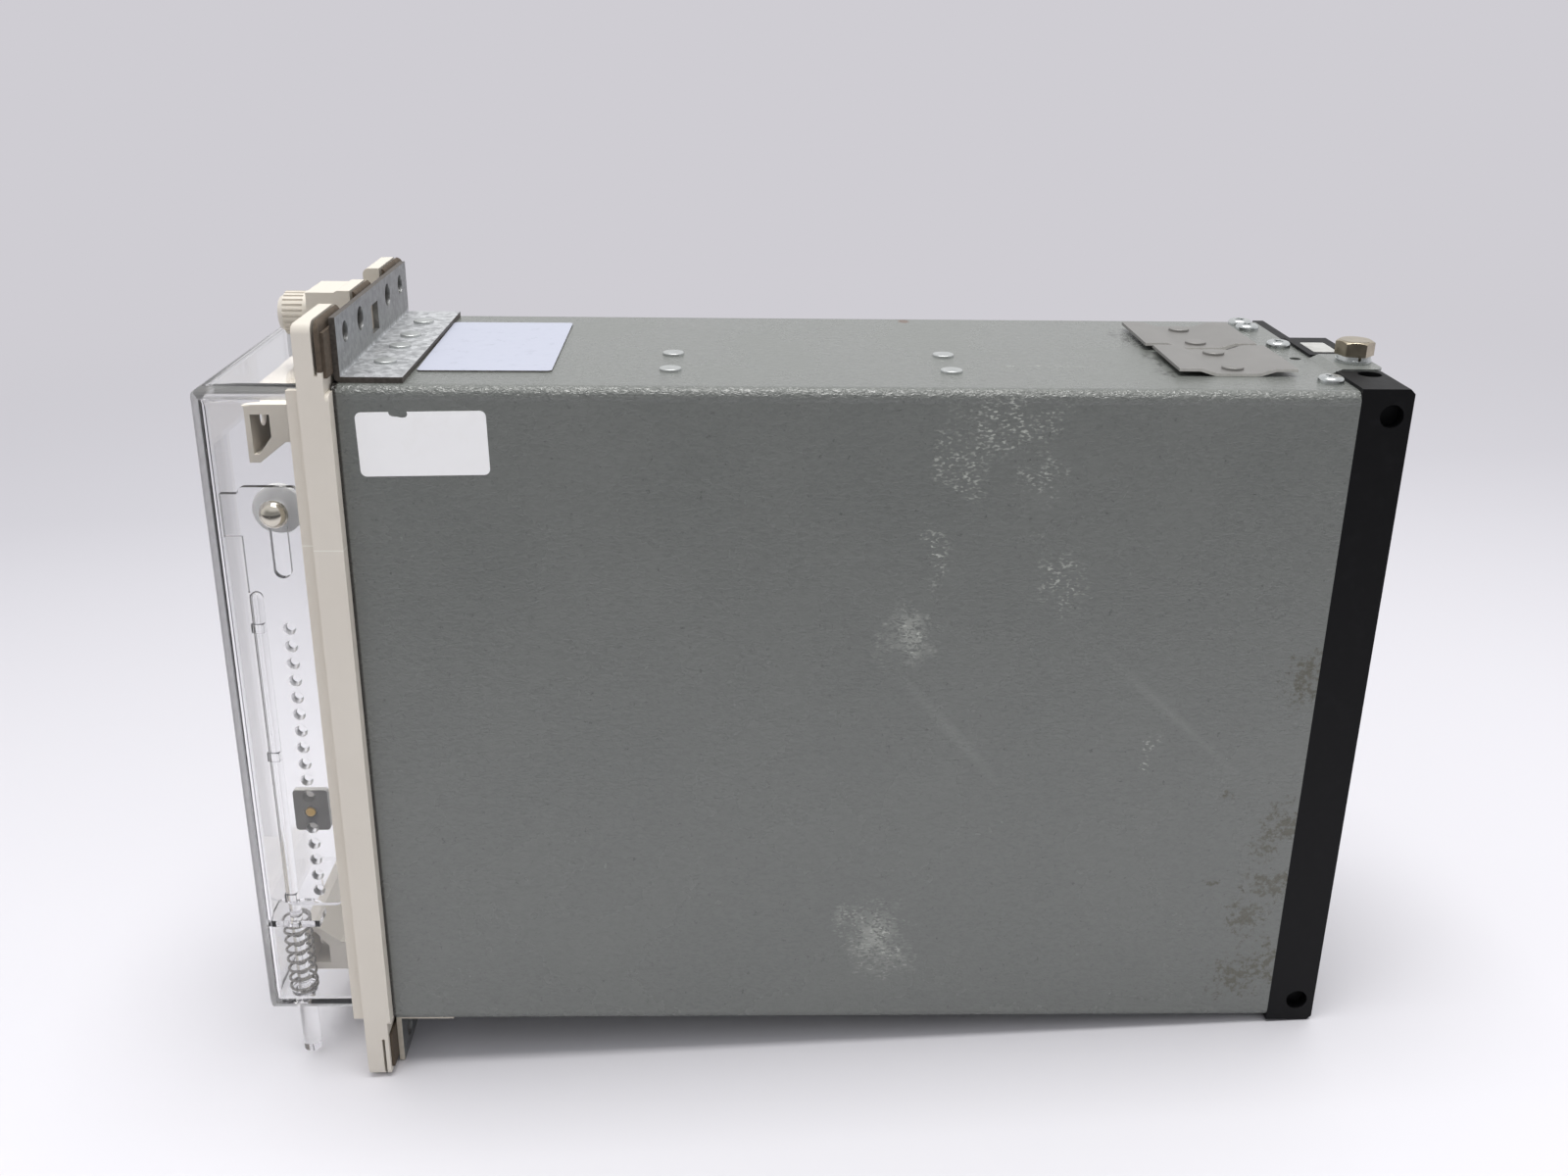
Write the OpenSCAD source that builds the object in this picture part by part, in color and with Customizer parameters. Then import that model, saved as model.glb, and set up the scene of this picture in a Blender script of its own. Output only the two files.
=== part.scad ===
// Flush-mounting protection relay in a narrow 4U drawn-out case.
// Millimetres. The panel face is the plane y = 0, the front points to -Y and +Z is up.

/* [Case] */
// Depth of the case behind the panel face
case_depth = 203; // [195:0.1:260]
// How far the case reaches ahead of the panel face
case_lead = 1.6; // [1.4:0.1:1.8]
// Thickness of the case sheet
sheet = 1.2; // [0.9:0.1:1.6]
// Outside radius of the case bends
bend_r = 2.2; // [1.8:0.1:4]
// Width of the earthing tongue
tongue_w = 14.4; // [12:0.2:18]
// Length of the earthing tongue behind the case
tongue_len = 10.6; // [8.5:0.1:10.6]
// Height of the joggle that lifts the tongue
tongue_lift = 1; // [0.6:0.1:1.4]
// Thread radius of the earth bolt
earth_r = 2; // [1.5:0.1:2.5]
// Size across the flats of the earth bolt
earth_af = 7; // [6:0.5:8]

/* [Front frame] */
// Width of the front frame
frame_w = 77.5; // [72:0.1:95]
// Height of the front frame
frame_h = 177; // [165:0.5:200]
// How far the frame overlaps the case at each side
frame_lip = 3.25; // [2:0.25:4.5]
// How far the tabs of the frame stand above the case
tab_rise = 13.25; // [12.75:0.25:14]
// Thickness of the front frame at its tabs
frame_t = 5.2; // [4.4:0.1:7]
// Space between the frame and the panel face
frame_gap = 1.9; // [1.8:0.05:2.6]
// Extra depth of the frame between the brackets
frame_mid = 0.8; // [0.5:0.05:1]
// Height of the rails beside the cover
rail_rise = 3.1; // [2:0.1:4]
// Thickness of the rails beside the cover
rail_wall = 1.8; // [1.2:0.1:2.2]
// Width of the middle tab that carries a cover stud
mid_tab_w = 13.6; // [11:0.2:15]
// Distance from a panel screw to the notch beside it
tab_land = 4.95; // [4:0.05:6]
// Depth of the notches between the tabs
notch_depth = 9; // [7:0.5:10]

/* [Panel brackets] */
// Distance from the end of a bracket to the side of the case
bracket_side = 2.5; // [2.25:0.25:4.5]
// Thickness of the bracket sheet
bracket_t = 1.2; // [0.9:0.05:1.4]
// Reach of the leg along the case
bracket_leg = 12.2; // [10:0.1:16]
// Height of the leg on the panel
bracket_rise = 12.9; // [12.4:0.1:13.4]
// Distance between the left and right panel screws
screw_pitch_x = 51.8; // [50:0.1:54]
// Distance from the end of a tab to the panel screws
screw_edge = 4.5; // [4:0.05:5.5]
// Radius of a panel screw hole
screw_hole_r = 2.15; // [1.8:0.05:2.4]
// Radius of the spare inner holes
spare_hole_r = 2.5; // [2:0.1:2.8]

/* [Clear cover] */
// Step from the side of the case to the clear cover
cover_side = 1.8; // [0.6:0.05:2.2]
// Step from the top of the case to the clear cover
cover_step = 0.95; // [0.75:0.05:1.85]
// Distance of the cover's front from the panel face
cover_front = 30.7; // [30:0.1:40]
// Wall of the clear cover
cover_wall = 2.5; // [2:0.1:2.8]
// Radius of the cover's outer edges
cover_r = 4; // [3:0.1:5]
// Thickness of the lugs under the nuts
lug_t = 2.6; // [2:0.1:3.4]
// Outside radius of a knurled nut
nut_r = 4.65; // [4:0.05:5]
// Length of a knurled nut
nut_len = 6.8; // [6:0.1:9]
// Radius of a cover stud
stud_r = 2; // [1.5:0.1:2.2]
// Number of flutes round a nut
nut_flutes = 24; // [18:2:30]

/* [Reset slide] */
// Travel of the reset rod
reset_travel = 6; // [3:0.5:6]
// Thickness of the slide plate
slide_t = 1.5; // [1.2:0.1:1.8]
// Radius of the rod along the slide
rod_r = 1.35; // [1:0.05:1.6]
// Radius of the push end below the cover
push_r = 2.1; // [1.6:0.1:2.6]
// Length of the push end below the cover
push_len = 13.7; // [11:0.1:13.7]
// Number of countersunk holes
hole_count = 17; // [12:1:18]
// Outside radius of the return spring
spring_r = 3.3; // [3:0.05:3.4]
// Wire radius of the return spring
wire_r = 0.32; // [0.25:0.01:0.4]
// Working turns of the return spring
spring_turns = 6.5; // [5:0.5:8]

/* [Withdrawable unit] */
// Distance from the side of the case to the unit's front plate
plate_side = 3.25; // [3.1:0.05:4.5]
// Distance from the top of the case to the unit's front plate
plate_rim = 2.5; // [2.35:0.05:4.2]
// Thickness of the front plate
plate_t = 2; // [1.5:0.1:2.5]
// Distance from the side of the front plate to a handle
handle_side = 8.45; // [8.35:0.05:12]
// Reach of a handle in front of the plate
handle_reach = 15.8; // [14.5:0.1:17]
// Thickness of the circuit boards
board_t = 1.6; // [1.2:0.1:2]
// Centre of the guided board and of its rails
board_x = 12.95; // [12:0.05:13.5]
// Width of a guide rail
guide_w = 21; // [20:0.5:21.5]
// Length of a guide rail
guide_len = 87; // [80:1:110]

/* [Terminals] */
// Width of the terminal block
block_w = 48.4; // [48:0.1:50]
// Depth of the terminal block behind the case
block_depth = 10.7; // [9.8:0.1:13]
// How far the block stands above the case
block_rise = 0.7; // [0.4:0.1:1]
// Distance from the top of the case to the first terminal row's edge
row_margin = 6.65; // [6.65:0.05:12]
// Number of terminal rows
row_count = 14; // [10:1:15]
// Depth of the blanking strip behind the case
strip_depth = 2.6; // [2:0.1:5]

/* [Fits] */
// Clearance round a fixed piece
fit = 0.05; // [0.02:0.01:0.08]
// Clearance round a moving piece
play = 0.3; // [0.25:0.05:0.4]

/* [Hidden] */
$fn = 48;
over = 1;
case_w = frame_w - 2 * frame_lip;
case_h = frame_h - 2 * tab_rise;
case_top = case_h / 2;
case_in_x = case_w / 2 - sheet;
case_in_z = case_top - sheet;
frame_back = -frame_gap;
frame_front = frame_back - frame_t;
frame_top = frame_h / 2;
tab_front = frame_front - rail_rise;
cover_w = case_w - 2 * cover_side;
cover_h = case_h - 2 * cover_step;
plate_w = case_w - 2 * plate_side;
plate_h = case_h - 2 * plate_rim;
rail_in_x = cover_w / 2 + play;
opening_w = plate_w + 3 * play;
opening_h = plate_h + 3 * play;
frame_corner = 2.5;
frame_edge_r = 1.4;
frame_seat = 1.5;
opening_corner = 2;
seat_drop = 1;
stud_tab_drop = 0.4;
slit_t = 0.6;
slit_depth = 10.6;
screw_room = 0.35;
tab_h = 12;
tab_foot = frame_top - tab_h;
screw_pitch_z = frame_h - 2 * screw_edge;
bracket_w = case_w - 2 * bracket_side;
bracket_top = case_top + bracket_rise;
strip_inset = 1;
strip_room = 0.7;
slot_size = 6;
slot_rise = 6.4;
slot_z = case_top + slot_rise;
rivet_r = 1.2;
rivet_head_r = 2.3;
rivet_head_h = 0.55;
rivet_tail = 0.7;
rivet_tail_r = 1.9;
bracket_rivet_in = 5.5;
bracket_rivet_out = 20;
bracket_rivet_x = [-bracket_rivet_out, -bracket_rivet_in, bracket_rivet_in, bracket_rivet_out];
bracket_rivet_y = bracket_leg / 2;
pair_half = 7.25;
guide_y = 50;
guide_h = 5;
guide_grip = 3.2;
guide_floor = 1.6;
guide_groove = 6.2;
guide_rivet_in = 14.4;
guide_rivet_y = [guide_y + guide_rivet_in, guide_y + guide_len - guide_rivet_in];
board_half_h = case_in_z - guide_h + guide_grip - play;
coupling_t = 0.7;
coupling_lift = 1;
coupling_right = [11.4, case_depth - 21.2];
coupling_left = [-12.9, case_depth - 22.3];
coupling_half = 7;
coupling_len = 24.8;
coupling_w = 22.6;
coupling_seat = 9.4;
coupling_ramp = 3.2;
coupling_shift = 0.4;
block_x1 = case_w / 2;
block_x0 = block_x1 - block_w;
block_mid = (block_x0 + block_x1) / 2;
block_rear = case_depth + block_depth;
block_top = case_top + block_rise;
block_in = 12.6;
block_in_y = case_depth - block_in;
block_chamfer = 1;
column_gap = 11.4;
column_w = 17;
channel_depth = 9.4;
channel_floor = block_rear - channel_depth;
channel_half = case_top - row_margin;
row_pitch = 2 * channel_half / row_count;
barrier_t = 1.4;
barrier_h = 4;
tag_t = 1;
tag_inset = 1;
screw_sink = 5;
side_hole_r = 2.4;
side_hole_drop = 5.6;
side_hole_in = 4.1;
side_hole_depth = 2.8;
top_hole_back = 6.2;
top_hole_y = case_depth + top_hole_back;
top_hole_depth = 3.5;
tongue_room = 0.5;
screw_r = 1.9;
screw_head_r = 3.3;
screw_head_h = 2.3;
strip_x1 = block_x0 - 2 * fit;
strip_w = strip_x1 + case_w / 2;
strip_in = 9;
strip_wall = 2.4;
strip_skin = 1.5;
fix_y = case_depth - 3.5;
strip_fix_y = case_depth - 4.8;
fix_right = 15.8;
fix_left = 17.4;
fix_spots = [
    [block_mid + fix_right, fix_y],
    [block_mid - fix_left, fix_y],
    [strip_x1 - 0.52 * strip_w, strip_fix_y],
    [strip_x1 - 0.77 * strip_w, strip_fix_y]
];
fix_r = 1.4;
fix_head_r = 2.65;
fix_head_h = 1.4;
fix_len = 6;
fix_dome = 0.6;
tongue_x = 12.5;
tongue_top = case_top + tongue_lift;
tongue_ramp = 2.2;
tongue_shift = 0.6;
tongue_corner = 2.5;
earth_back = 4.2;
earth_y = case_depth + tongue_len - earth_back;
washer_t = 0.8;
earth_head_h = 3.2;
earth_len = 5;
washer_rim = 0.2;
split_rim = 0;
earth_crown = 0.9;
split_gap = 0.6;
plate_sink = 0.5;
plate_corner = 1.5;
plate_y = frame_front + plate_sink;
plate_back = plate_y + plate_t;
cover_rear = frame_front - fit;
cover_face = -cover_front;
cover_in_x = cover_w / 2 - cover_wall;
cover_in_z = cover_h / 2 - cover_wall;
pocket_wall = 1.2;
lug_w = mid_tab_w - 2 * (pocket_wall + play);
lug_corner = 1.2;
lug_front = tab_front - fit - lug_t;
lug_top = frame_top - stud_tab_drop - pocket_wall - play;
stud_z = (tab_foot + frame_top) / 2;
stud_sink = 2.6;
stud_root = frame_front + stud_sink;
nut_gap = 0.2;
nut_rear = lug_front - nut_gap;
nut_front = nut_rear - nut_len;
nut_flange = 1.3;
nut_crown = 1.2;
nut_bevel = 1.2;
nut_skin = 2;
flute_r = 0.36;
run = 0.08;
stud_short = 2.4;
stud_tip = nut_front + stud_short;
slide_out = cover_in_x - play;
slide_in = slide_out - slide_t;
slide_back = 7.2;
slide_w = 12.4;
slide_y0 = cover_face + slide_back;
slide_y1 = slide_y0 + slide_w;
slide_drop = 18.6;
slide_top = cover_in_z - slide_drop;
shelf_rise = 21.8;
shelf_z = -cover_in_z + shelf_rise;
slide_gap = 4;
slide_bottom = shelf_z + slide_gap;
slide_corner = 1.5;
ear_h = 9.2;
ear_out = 3.6;
guide_drop = 5.2;
guide_z = slide_top - guide_drop;
guide_back = 7.6;
guide_axis_y = slide_y0 + guide_back;
slot_r = 1.8;
slot_spare = 6.8;
slot_foot = guide_z - slot_r - reset_travel - slot_spare;
hole_gap = 11.4;
hole_margin = 4;
hole_top = slot_foot - hole_gap;
hole_pitch = (hole_top - slide_bottom - hole_margin) / (hole_count - 1);
hole_r = 0.35 * hole_pitch;
hole_sink = 0.5;
pad_w = 7.6;
pad_h = 10;
pad_t = 1.4;
pad_corner = 0.8;
pad_z = hole_top - 11 * hole_pitch;
pin_r = 1.05;
rod_x = cover_in_x - spring_r - play;
rod_back = 0.6;
rod_y = slide_y0 + rod_back;
rod_drop = 25.2;
rod_top = slide_top - rod_drop;
web_h = 2;
web_drop = 6.5;
web_z = [rod_top - web_drop, (rod_top + slide_bottom) / 2, slide_bottom + web_h / 2];
collar_step = 0.4;
collar_r = spring_r - collar_step;
collar_t = 0.8;
collar_z = -cover_in_z + 2 * play;
spring_foot = collar_z + collar_t;
shelf_t = 1.6;
spring_head = shelf_z - shelf_t;
shelf_rim = 3;
shelf_corner = 5;
shelf_x0 = rod_x - spring_r - shelf_rim;
shelf_y0 = cover_face + over;
shelf_y1 = rod_y + spring_r + shelf_rim;
dome_r = 3;
bush_r = 5.2;
bush_t = 1.2;
hub_sink = 0.5;
handle_w = plate_w - 2 * handle_side;
handle_drop = 4.5;
handle_h = 12;
handle_hook = 4.4;
handle_top = plate_h / 2 - handle_drop;
handle_foot = handle_top - handle_h;
handle_lip = handle_foot + handle_hook;
handle_wall = 1.1;
handle_roof = 1.8;
handle_toe = 2.2;
handle_slope = 7.8;
handle_front = plate_y - handle_reach;
handle_bore = 5;
handle_screw_in = 8.8;
handle_screw_drop = 4;
handle_bore_y = handle_front + handle_bore;
handle_screw_x = handle_w / 2 - handle_screw_in;
handle_screw_z = handle_top - handle_screw_drop;
handle_screw_r = 1.5;
handle_head_r = 2;
handle_head_h = 1.5;
handle_head_room = 0.4;
chassis_t = 1.6;
chassis_drop = 4;
chassis_z = board_half_h - chassis_drop;
chassis_lip = 10;
chassis_x0 = -24;
board_x0 = board_x - board_t / 2;
board_x1 = board_x + board_t / 2;
plug_gap = 0.8;
plug_t = 6;
plug_y = block_in_y - plug_t - plug_gap;
plug_w = 16;
plug_edge = 1;
plug_room = 9;
blade_x = 4;
blade_w = 4;
blade_t = 1;
blade_len = 8.6;
blade_sink = 2;
side_board_x = -20;
spacer_r = 3;
spacer_y = [30, 140];
spacer_z = [-45, 45];
core_y = 120;
core_l = 40;
core_z = -44;
core_h = 34;
window_l = 8;
window_h = 20;
limb_pitch = 10;
coil_rise = 3.6;
core_room = 2.35;
core_t = case_in_x - board_x1 - 2 * coil_rise - core_room;
relay_size = [16, 28, 12.4];
relay_y = 18;
relay_z = [34, 6, -22];
can_r = 6;
can_room = 3.55;
can_h = case_in_x - board_x1 - can_room;
can_y = [70, 86, 102];
can_drop = 24;
can_z = board_half_h - can_drop;
board_edge = 10;
lens_r = 2.5;
lens_rim = 0.7;
lens_rise = 1.4;
lens_z = 18;

// Rectangle with round corners, centred on its origin
module rounded_rect(w, h, r) {
    square([w - 2 * r, h], center = true);
    square([w, h - 2 * r], center = true);
    for (x = [-1, 1], y = [-1, 1])
        translate([x * (w / 2 - r), y * (h / 2 - r)]) circle(r);
}

// Outline in X and Z, swept along Y
module along_y(y0, y1) {
    translate([0, y1, 0]) rotate([90, 0, 0]) linear_extrude(y1 - y0) children();
}

// Outline in Y and Z, swept along X
module along_x(x0, x1) {
    translate([x0, 0, 0]) rotate([90, 0, 90]) linear_extrude(x1 - x0) children();
}

// Box from its low corner to its high corner
module box(low, high) {
    translate(low) cube(high - low);
}

// Rod along Y
module rod_along_y(x, z, y0, y1, r) {
    translate([x, y1, z]) rotate([90, 0, 0]) cylinder(y1 - y0, r = r);
}

// Rod along X
module rod_along_x(y, z, x0, x1, r) {
    translate([x0, y, z]) rotate([0, 90, 0]) cylinder(x1 - x0, r = r);
}

// Copies on the top and, turned over, on the bottom
module both_ends() {
    children();
    mirror([0, 0, 1]) children();
}

// Domed rivet standing on z = 0, with its tail under the sheets it grips
module rivet(grip) {
    dome = (rivet_head_r * rivet_head_r + rivet_head_h * rivet_head_h) / (2 * rivet_head_h);
    intersection() {
        translate([0, 0, rivet_head_h - dome]) sphere(dome);
        cylinder(rivet_head_h, r = rivet_head_r);
    }
    translate([0, 0, -grip]) cylinder(grip, r = rivet_r - fit);
    translate([0, 0, -grip - rivet_tail]) cylinder(rivet_tail, r = rivet_tail_r);
}

// Places of the guide rail rivets on the case top
module at_guide_rivets() {
    for (x = [-pair_half, pair_half], y = guide_rivet_y)
        translate([board_x + x, y, case_top]) children();
}

// Places of the bracket rivets on the case top
module at_bracket_rivets() {
    for (x = bracket_rivet_x) translate([x, bracket_rivet_y, case_top]) children();
}

// Places of the coupling plate rivets on the case top
module at_coupling_rivets() {
    for (centre = [coupling_right, coupling_left], x = [-coupling_half, coupling_half])
        translate([centre.x + x, centre.y, case_top]) children();
}

// Places of the block screws on the case top
module at_block_screws() {
    for (spot = fix_spots) translate([spot.x, spot.y, case_top]) children();
}

// Centres of the terminals
module at_terminals() {
    for (side = [-1, 1], row = [0 : row_count - 1])
        translate([
            block_mid + side * column_gap,
            channel_floor,
            (row - (row_count - 1) / 2) * row_pitch
        ]) children();
}

// Inside of the case, drawn in by a clearance
module case_bore(gap) {
    along_y(-case_lead - over, case_depth + over)
        rounded_rect(2 * (case_in_x - gap), 2 * (case_in_z - gap), bend_r - sheet);
}

// Folded sheet case, open at the front and the rear, with its joggled earthing tongue
module case_shell() {
    color("slategray") difference() {
        union() {
            difference() {
                along_y(-case_lead, case_depth) rounded_rect(case_w, case_h, bend_r);
                case_bore(0);
            }
            intersection() {
                along_x(tongue_x - tongue_w / 2, tongue_x + tongue_w / 2) tongue_profile();
                translate([tongue_x, case_depth, 0])
                    linear_extrude(frame_h) rounded_rect(tongue_w, 2 * tongue_len, tongue_corner);
            }
        }
        both_ends() {
            at_guide_rivets() cylinder(4 * sheet, r = rivet_r, center = true);
            at_bracket_rivets() cylinder(4 * sheet, r = rivet_r, center = true);
            at_block_screws() cylinder(4 * sheet, r = fix_r + fit, center = true);
        }
        at_coupling_rivets() cylinder(4 * sheet, r = rivet_r, center = true);
        translate([tongue_x, earth_y, tongue_top]) cylinder(4 * sheet, r = earth_r + 2 * fit, center = true);
        translate([board_x - pair_half, fix_y, case_top]) cylinder(4 * sheet, r = rivet_r, center = true);
    }
}

// Side view of the tongue, from the flat sheet over the joggle to its end
module tongue_profile() {
    rise = case_depth + tongue_ramp;
    polygon([
        [case_depth - sheet, case_in_z],
        [case_depth, case_in_z],
        [rise, tongue_top - sheet],
        [case_depth + tongue_len, tongue_top - sheet],
        [case_depth + tongue_len, tongue_top],
        [rise - tongue_shift, tongue_top],
        [case_depth - tongue_shift, case_top],
        [case_depth - sheet, case_top]
    ]);
}

// Moulded frame with three tabs at each end, pockets for the cover's lugs and rails beside the cover
module front_frame() {
    notch_x0 = mid_tab_w / 2;
    notch_x1 = screw_pitch_x / 2 - tab_land;
    color("antiquewhite") difference() {
        union() {
            intersection() {
                along_y(frame_front, frame_back) rounded_rect(frame_w, frame_h, frame_corner);
                along_x(-frame_w, frame_w)
                    translate([(frame_front + frame_back) / 2, 0])
                        rounded_rect(frame_t, frame_h, frame_edge_r);
            }
            along_y(frame_back - frame_seat, frame_back + frame_mid)
                rounded_rect(frame_w, case_h - 2 * seat_drop, frame_seat);
            for (x = [-rail_in_x - rail_wall, rail_in_x])
                box([x, tab_front, -cover_h / 2], [x + rail_wall, frame_front + over, cover_h / 2]);
            both_ends() difference() {
                box(
                    [-notch_x0, lug_front + nut_gap, tab_foot],
                    [notch_x0, frame_front + frame_seat, frame_top - stud_tab_drop]
                );
                box(
                    [-lug_w / 2 - play, lug_front, tab_foot - over],
                    [lug_w / 2 + play, tab_front, lug_top + play]
                );
            }
        }
        along_y(tab_front - over, over) rounded_rect(opening_w, opening_h, opening_corner);
        along_y(-case_lead - fit, over) difference() {
            rounded_rect(case_w + 4 * fit, case_h + 4 * fit, bend_r);
            rounded_rect(case_w - 2 * sheet - 4 * fit, case_h - 2 * sheet - 4 * fit, bend_r - sheet);
        }
        both_ends() {
            for (side = [-1, 1]) {
                translate([side * (notch_x0 + notch_x1) / 2, 0, frame_top])
                    cube([notch_x1 - notch_x0, 4 * frame_t, 2 * notch_depth], center = true);
                rod_along_y(
                    side * screw_pitch_x / 2, screw_pitch_z / 2, tab_front, over, screw_hole_r + screw_room
                );
            }
            box(
                [-frame_w, frame_back - frame_seat, frame_top - slit_depth],
                [frame_w, frame_back - frame_seat + slit_t, frame_top + over]
            );
            rod_along_y(0, stud_z, tab_front - over, stud_root, stud_r + fit);
        }
    }
}

// Bent sheet bracket on the case top, with its screw holes for the panel
module panel_bracket() {
    difference() {
        along_x(-bracket_w / 2, bracket_w / 2) difference() {
            union() {
                translate([-bracket_t, case_top]) square([bracket_t, bracket_rise]);
                translate([-bracket_t, case_top]) square([bracket_t + bracket_leg, bracket_t]);
            }
            translate([-bracket_t, case_top]) difference() {
                square(bracket_t);
                translate([bracket_t, bracket_t]) circle(bracket_t);
            }
        }
        for (side = [-1, 1]) {
            rod_along_y(side * screw_pitch_x / 2, screw_pitch_z / 2, -2 * bracket_t, bracket_t, screw_hole_r);
            rod_along_y(side * screw_pitch_x / 4, screw_pitch_z / 2, -2 * bracket_t, bracket_t, spare_hole_r);
        }
        translate([0, 0, slot_z]) cube([slot_size, 4 * bracket_t, slot_size], center = true);
        at_bracket_rivets() cylinder(4 * bracket_t, r = rivet_r, center = true);
    }
}

module top_bracket() {
    color("silver") panel_bracket();
}

module bottom_bracket() {
    color("silver") mirror([0, 0, 1]) panel_bracket();
}

module bracket_rivets() {
    color("gainsboro") both_ends() at_bracket_rivets()
        translate([0, 0, bracket_t]) rivet(bracket_t + sheet);
}

// Thin rubber strips between the frame and the brackets, pierced by the panel screws alone
module frame_gaskets() {
    color("saddlebrown") both_ends() difference() {
        box(
            [-frame_w / 2 + strip_inset, frame_back, case_top + 2 * strip_inset],
            [frame_w / 2 - strip_inset, -bracket_t, bracket_top - 2 * strip_inset]
        );
        for (side = [-1, 1])
            rod_along_y(
                side * screw_pitch_x / 2, screw_pitch_z / 2, -frame_t, over, screw_hole_r + strip_room
            );
    }
}

// Moulded channel under the case top that guides the board's edge
module board_guide() {
    difference() {
        box(
            [board_x - guide_w / 2, guide_y, case_in_z - guide_h],
            [board_x + guide_w / 2, guide_y + guide_len, case_in_z]
        );
        box(
            [board_x0 - play, guide_y - over, case_in_z - guide_h - over],
            [board_x1 + play, guide_y + guide_len + over, case_in_z - guide_h + guide_grip]
        );
        for (groove_x = [board_x - pair_half, board_x + pair_half])
            box(
                [groove_x - guide_groove / 2, guide_y - over, case_in_z - guide_h - over],
                [groove_x + guide_groove / 2, guide_y + guide_len + over, case_in_z - guide_floor]
            );
        at_guide_rivets() cylinder(4 * guide_h, r = rivet_r, center = true);
    }
}

module top_guide() {
    color("ivory") board_guide();
}

module bottom_guide() {
    color("ivory") mirror([0, 0, 1]) board_guide();
}

module guide_rivets() {
    color("gainsboro") both_ends() at_guide_rivets() rivet(sheet + guide_floor);
}

// Joggled plate that ties neighbouring cases together
module coupling_plate(centre) {
    seat = coupling_seat / 2;
    ramp = coupling_ramp;
    shift = coupling_shift;
    low = case_top;
    high = case_top + coupling_lift;
    difference() {
        along_x(centre.x - coupling_w / 2, centre.x + coupling_w / 2) translate([centre.y, 0]) polygon([
            [-coupling_len / 2, high],
            [-seat - ramp, high],
            [-seat, low],
            [seat, low],
            [seat + ramp, high],
            [coupling_len / 2, high],
            [coupling_len / 2, high + coupling_t],
            [seat + ramp - shift, high + coupling_t],
            [seat - shift, low + coupling_t],
            [-seat + shift, low + coupling_t],
            [-seat - ramp + shift, high + coupling_t],
            [-coupling_len / 2, high + coupling_t]
        ]);
        at_coupling_rivets() cylinder(6 * coupling_t, r = rivet_r, center = true);
    }
}

module coupling_plate_right() {
    color("darkgray") coupling_plate(coupling_right);
}

module coupling_plate_left() {
    color("darkgray") coupling_plate(coupling_left);
}

module coupling_rivets() {
    color("silver") at_coupling_rivets() translate([0, 0, coupling_t]) rivet(coupling_t + sheet);
}

// Black terminal moulding: a flange behind the case and a body inside it
module terminal_block() {
    plug_cut = plug_w - 2 * plug_edge;
    color("dimgray") difference() {
        union() {
            along_x(block_x0, block_x1) polygon([
                [case_depth, -block_top],
                [block_rear - block_chamfer, -block_top],
                [block_rear, -block_top + block_chamfer],
                [block_rear, block_top - block_chamfer],
                [block_rear - block_chamfer, block_top],
                [case_depth, block_top]
            ]);
            intersection() {
                box([block_x0 + sheet, block_in_y, -case_top], [case_w, case_depth + over, case_top]);
                case_bore(2 * fit);
            }
        }
        for (side = [-1, 1]) {
            box(
                [block_mid + side * column_gap - column_w / 2, channel_floor, -channel_half],
                [block_mid + side * column_gap + column_w / 2, block_rear + over, channel_half]
            );
            rod_along_x(
                block_rear - side_hole_in, side * (block_top - side_hole_drop),
                block_x1 - side_hole_depth, block_x1 + over, side_hole_r
            );
            translate([block_mid + side * column_gap, top_hole_y, block_top])
                cylinder(2 * top_hole_depth, r = side_hole_r, center = true);
        }
        box(
            [board_x - plug_cut / 2, block_in_y - over, -channel_half - plug_edge],
            [board_x + plug_cut / 2, block_in_y + plug_room, channel_half + plug_edge]
        );
        at_terminals() rod_along_y(0, 0, -screw_sink - play, over, screw_r + fit);
        box(
            [tongue_x - tongue_w / 2 - tongue_room, case_depth - over, case_in_z - tongue_room],
            [tongue_x + tongue_w / 2 + tongue_room, block_rear + over, block_top + over]
        );
        translate([tongue_x, earth_y, tongue_top])
            cylinder(4 * earth_len, r = earth_r + tongue_room, center = true);
        both_ends() at_block_screws() cylinder(2 * fix_len + over, r = fix_r + fit, center = true);
    }
    color("dimgray") for (side = [-1, 1], row = [1 : row_count - 1])
        translate([block_mid + side * column_gap, channel_floor, (row - row_count / 2) * row_pitch])
            box([-column_w / 2, -over, -barrier_t / 2], [column_w / 2, barrier_h, barrier_t / 2]);
}

// Plain strip that closes the unused unit beside the block
module blanking_strip() {
    color("dimgray") difference() {
        union() {
            box([-case_w / 2, case_depth, -case_top], [strip_x1, case_depth + strip_depth, case_top]);
            intersection() {
                box(
                    [-case_w, case_depth - strip_in, -case_top],
                    [strip_x1, case_depth + strip_skin, case_top]
                );
                case_bore(2 * fit);
            }
        }
        box(
            [-case_in_x + strip_wall, case_depth - strip_in - over, -case_in_z + strip_in],
            [strip_x1 - strip_wall, case_depth - strip_skin, case_in_z - strip_in]
        );
        both_ends() at_block_screws() cylinder(2 * fix_len + over, r = fix_r + fit, center = true);
    }
}

// Brass plates on the floors of the terminal channels
module terminal_tags() {
    color("goldenrod") at_terminals() difference() {
        box(
            [-column_w / 2 + tag_inset, 0, -row_pitch / 2 + tag_inset],
            [column_w / 2 - tag_inset, tag_t, row_pitch / 2 - tag_inset]
        );
        rod_along_y(0, 0, -over, tag_t + over, screw_r + fit);
    }
}

// Pan head terminal screws
module terminal_screws() {
    color("silver") at_terminals() {
        rod_along_y(0, 0, tag_t, tag_t + screw_head_h, screw_head_r);
        rod_along_y(0, 0, -screw_sink, tag_t + screw_head_h / 2, screw_r);
    }
}

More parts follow.
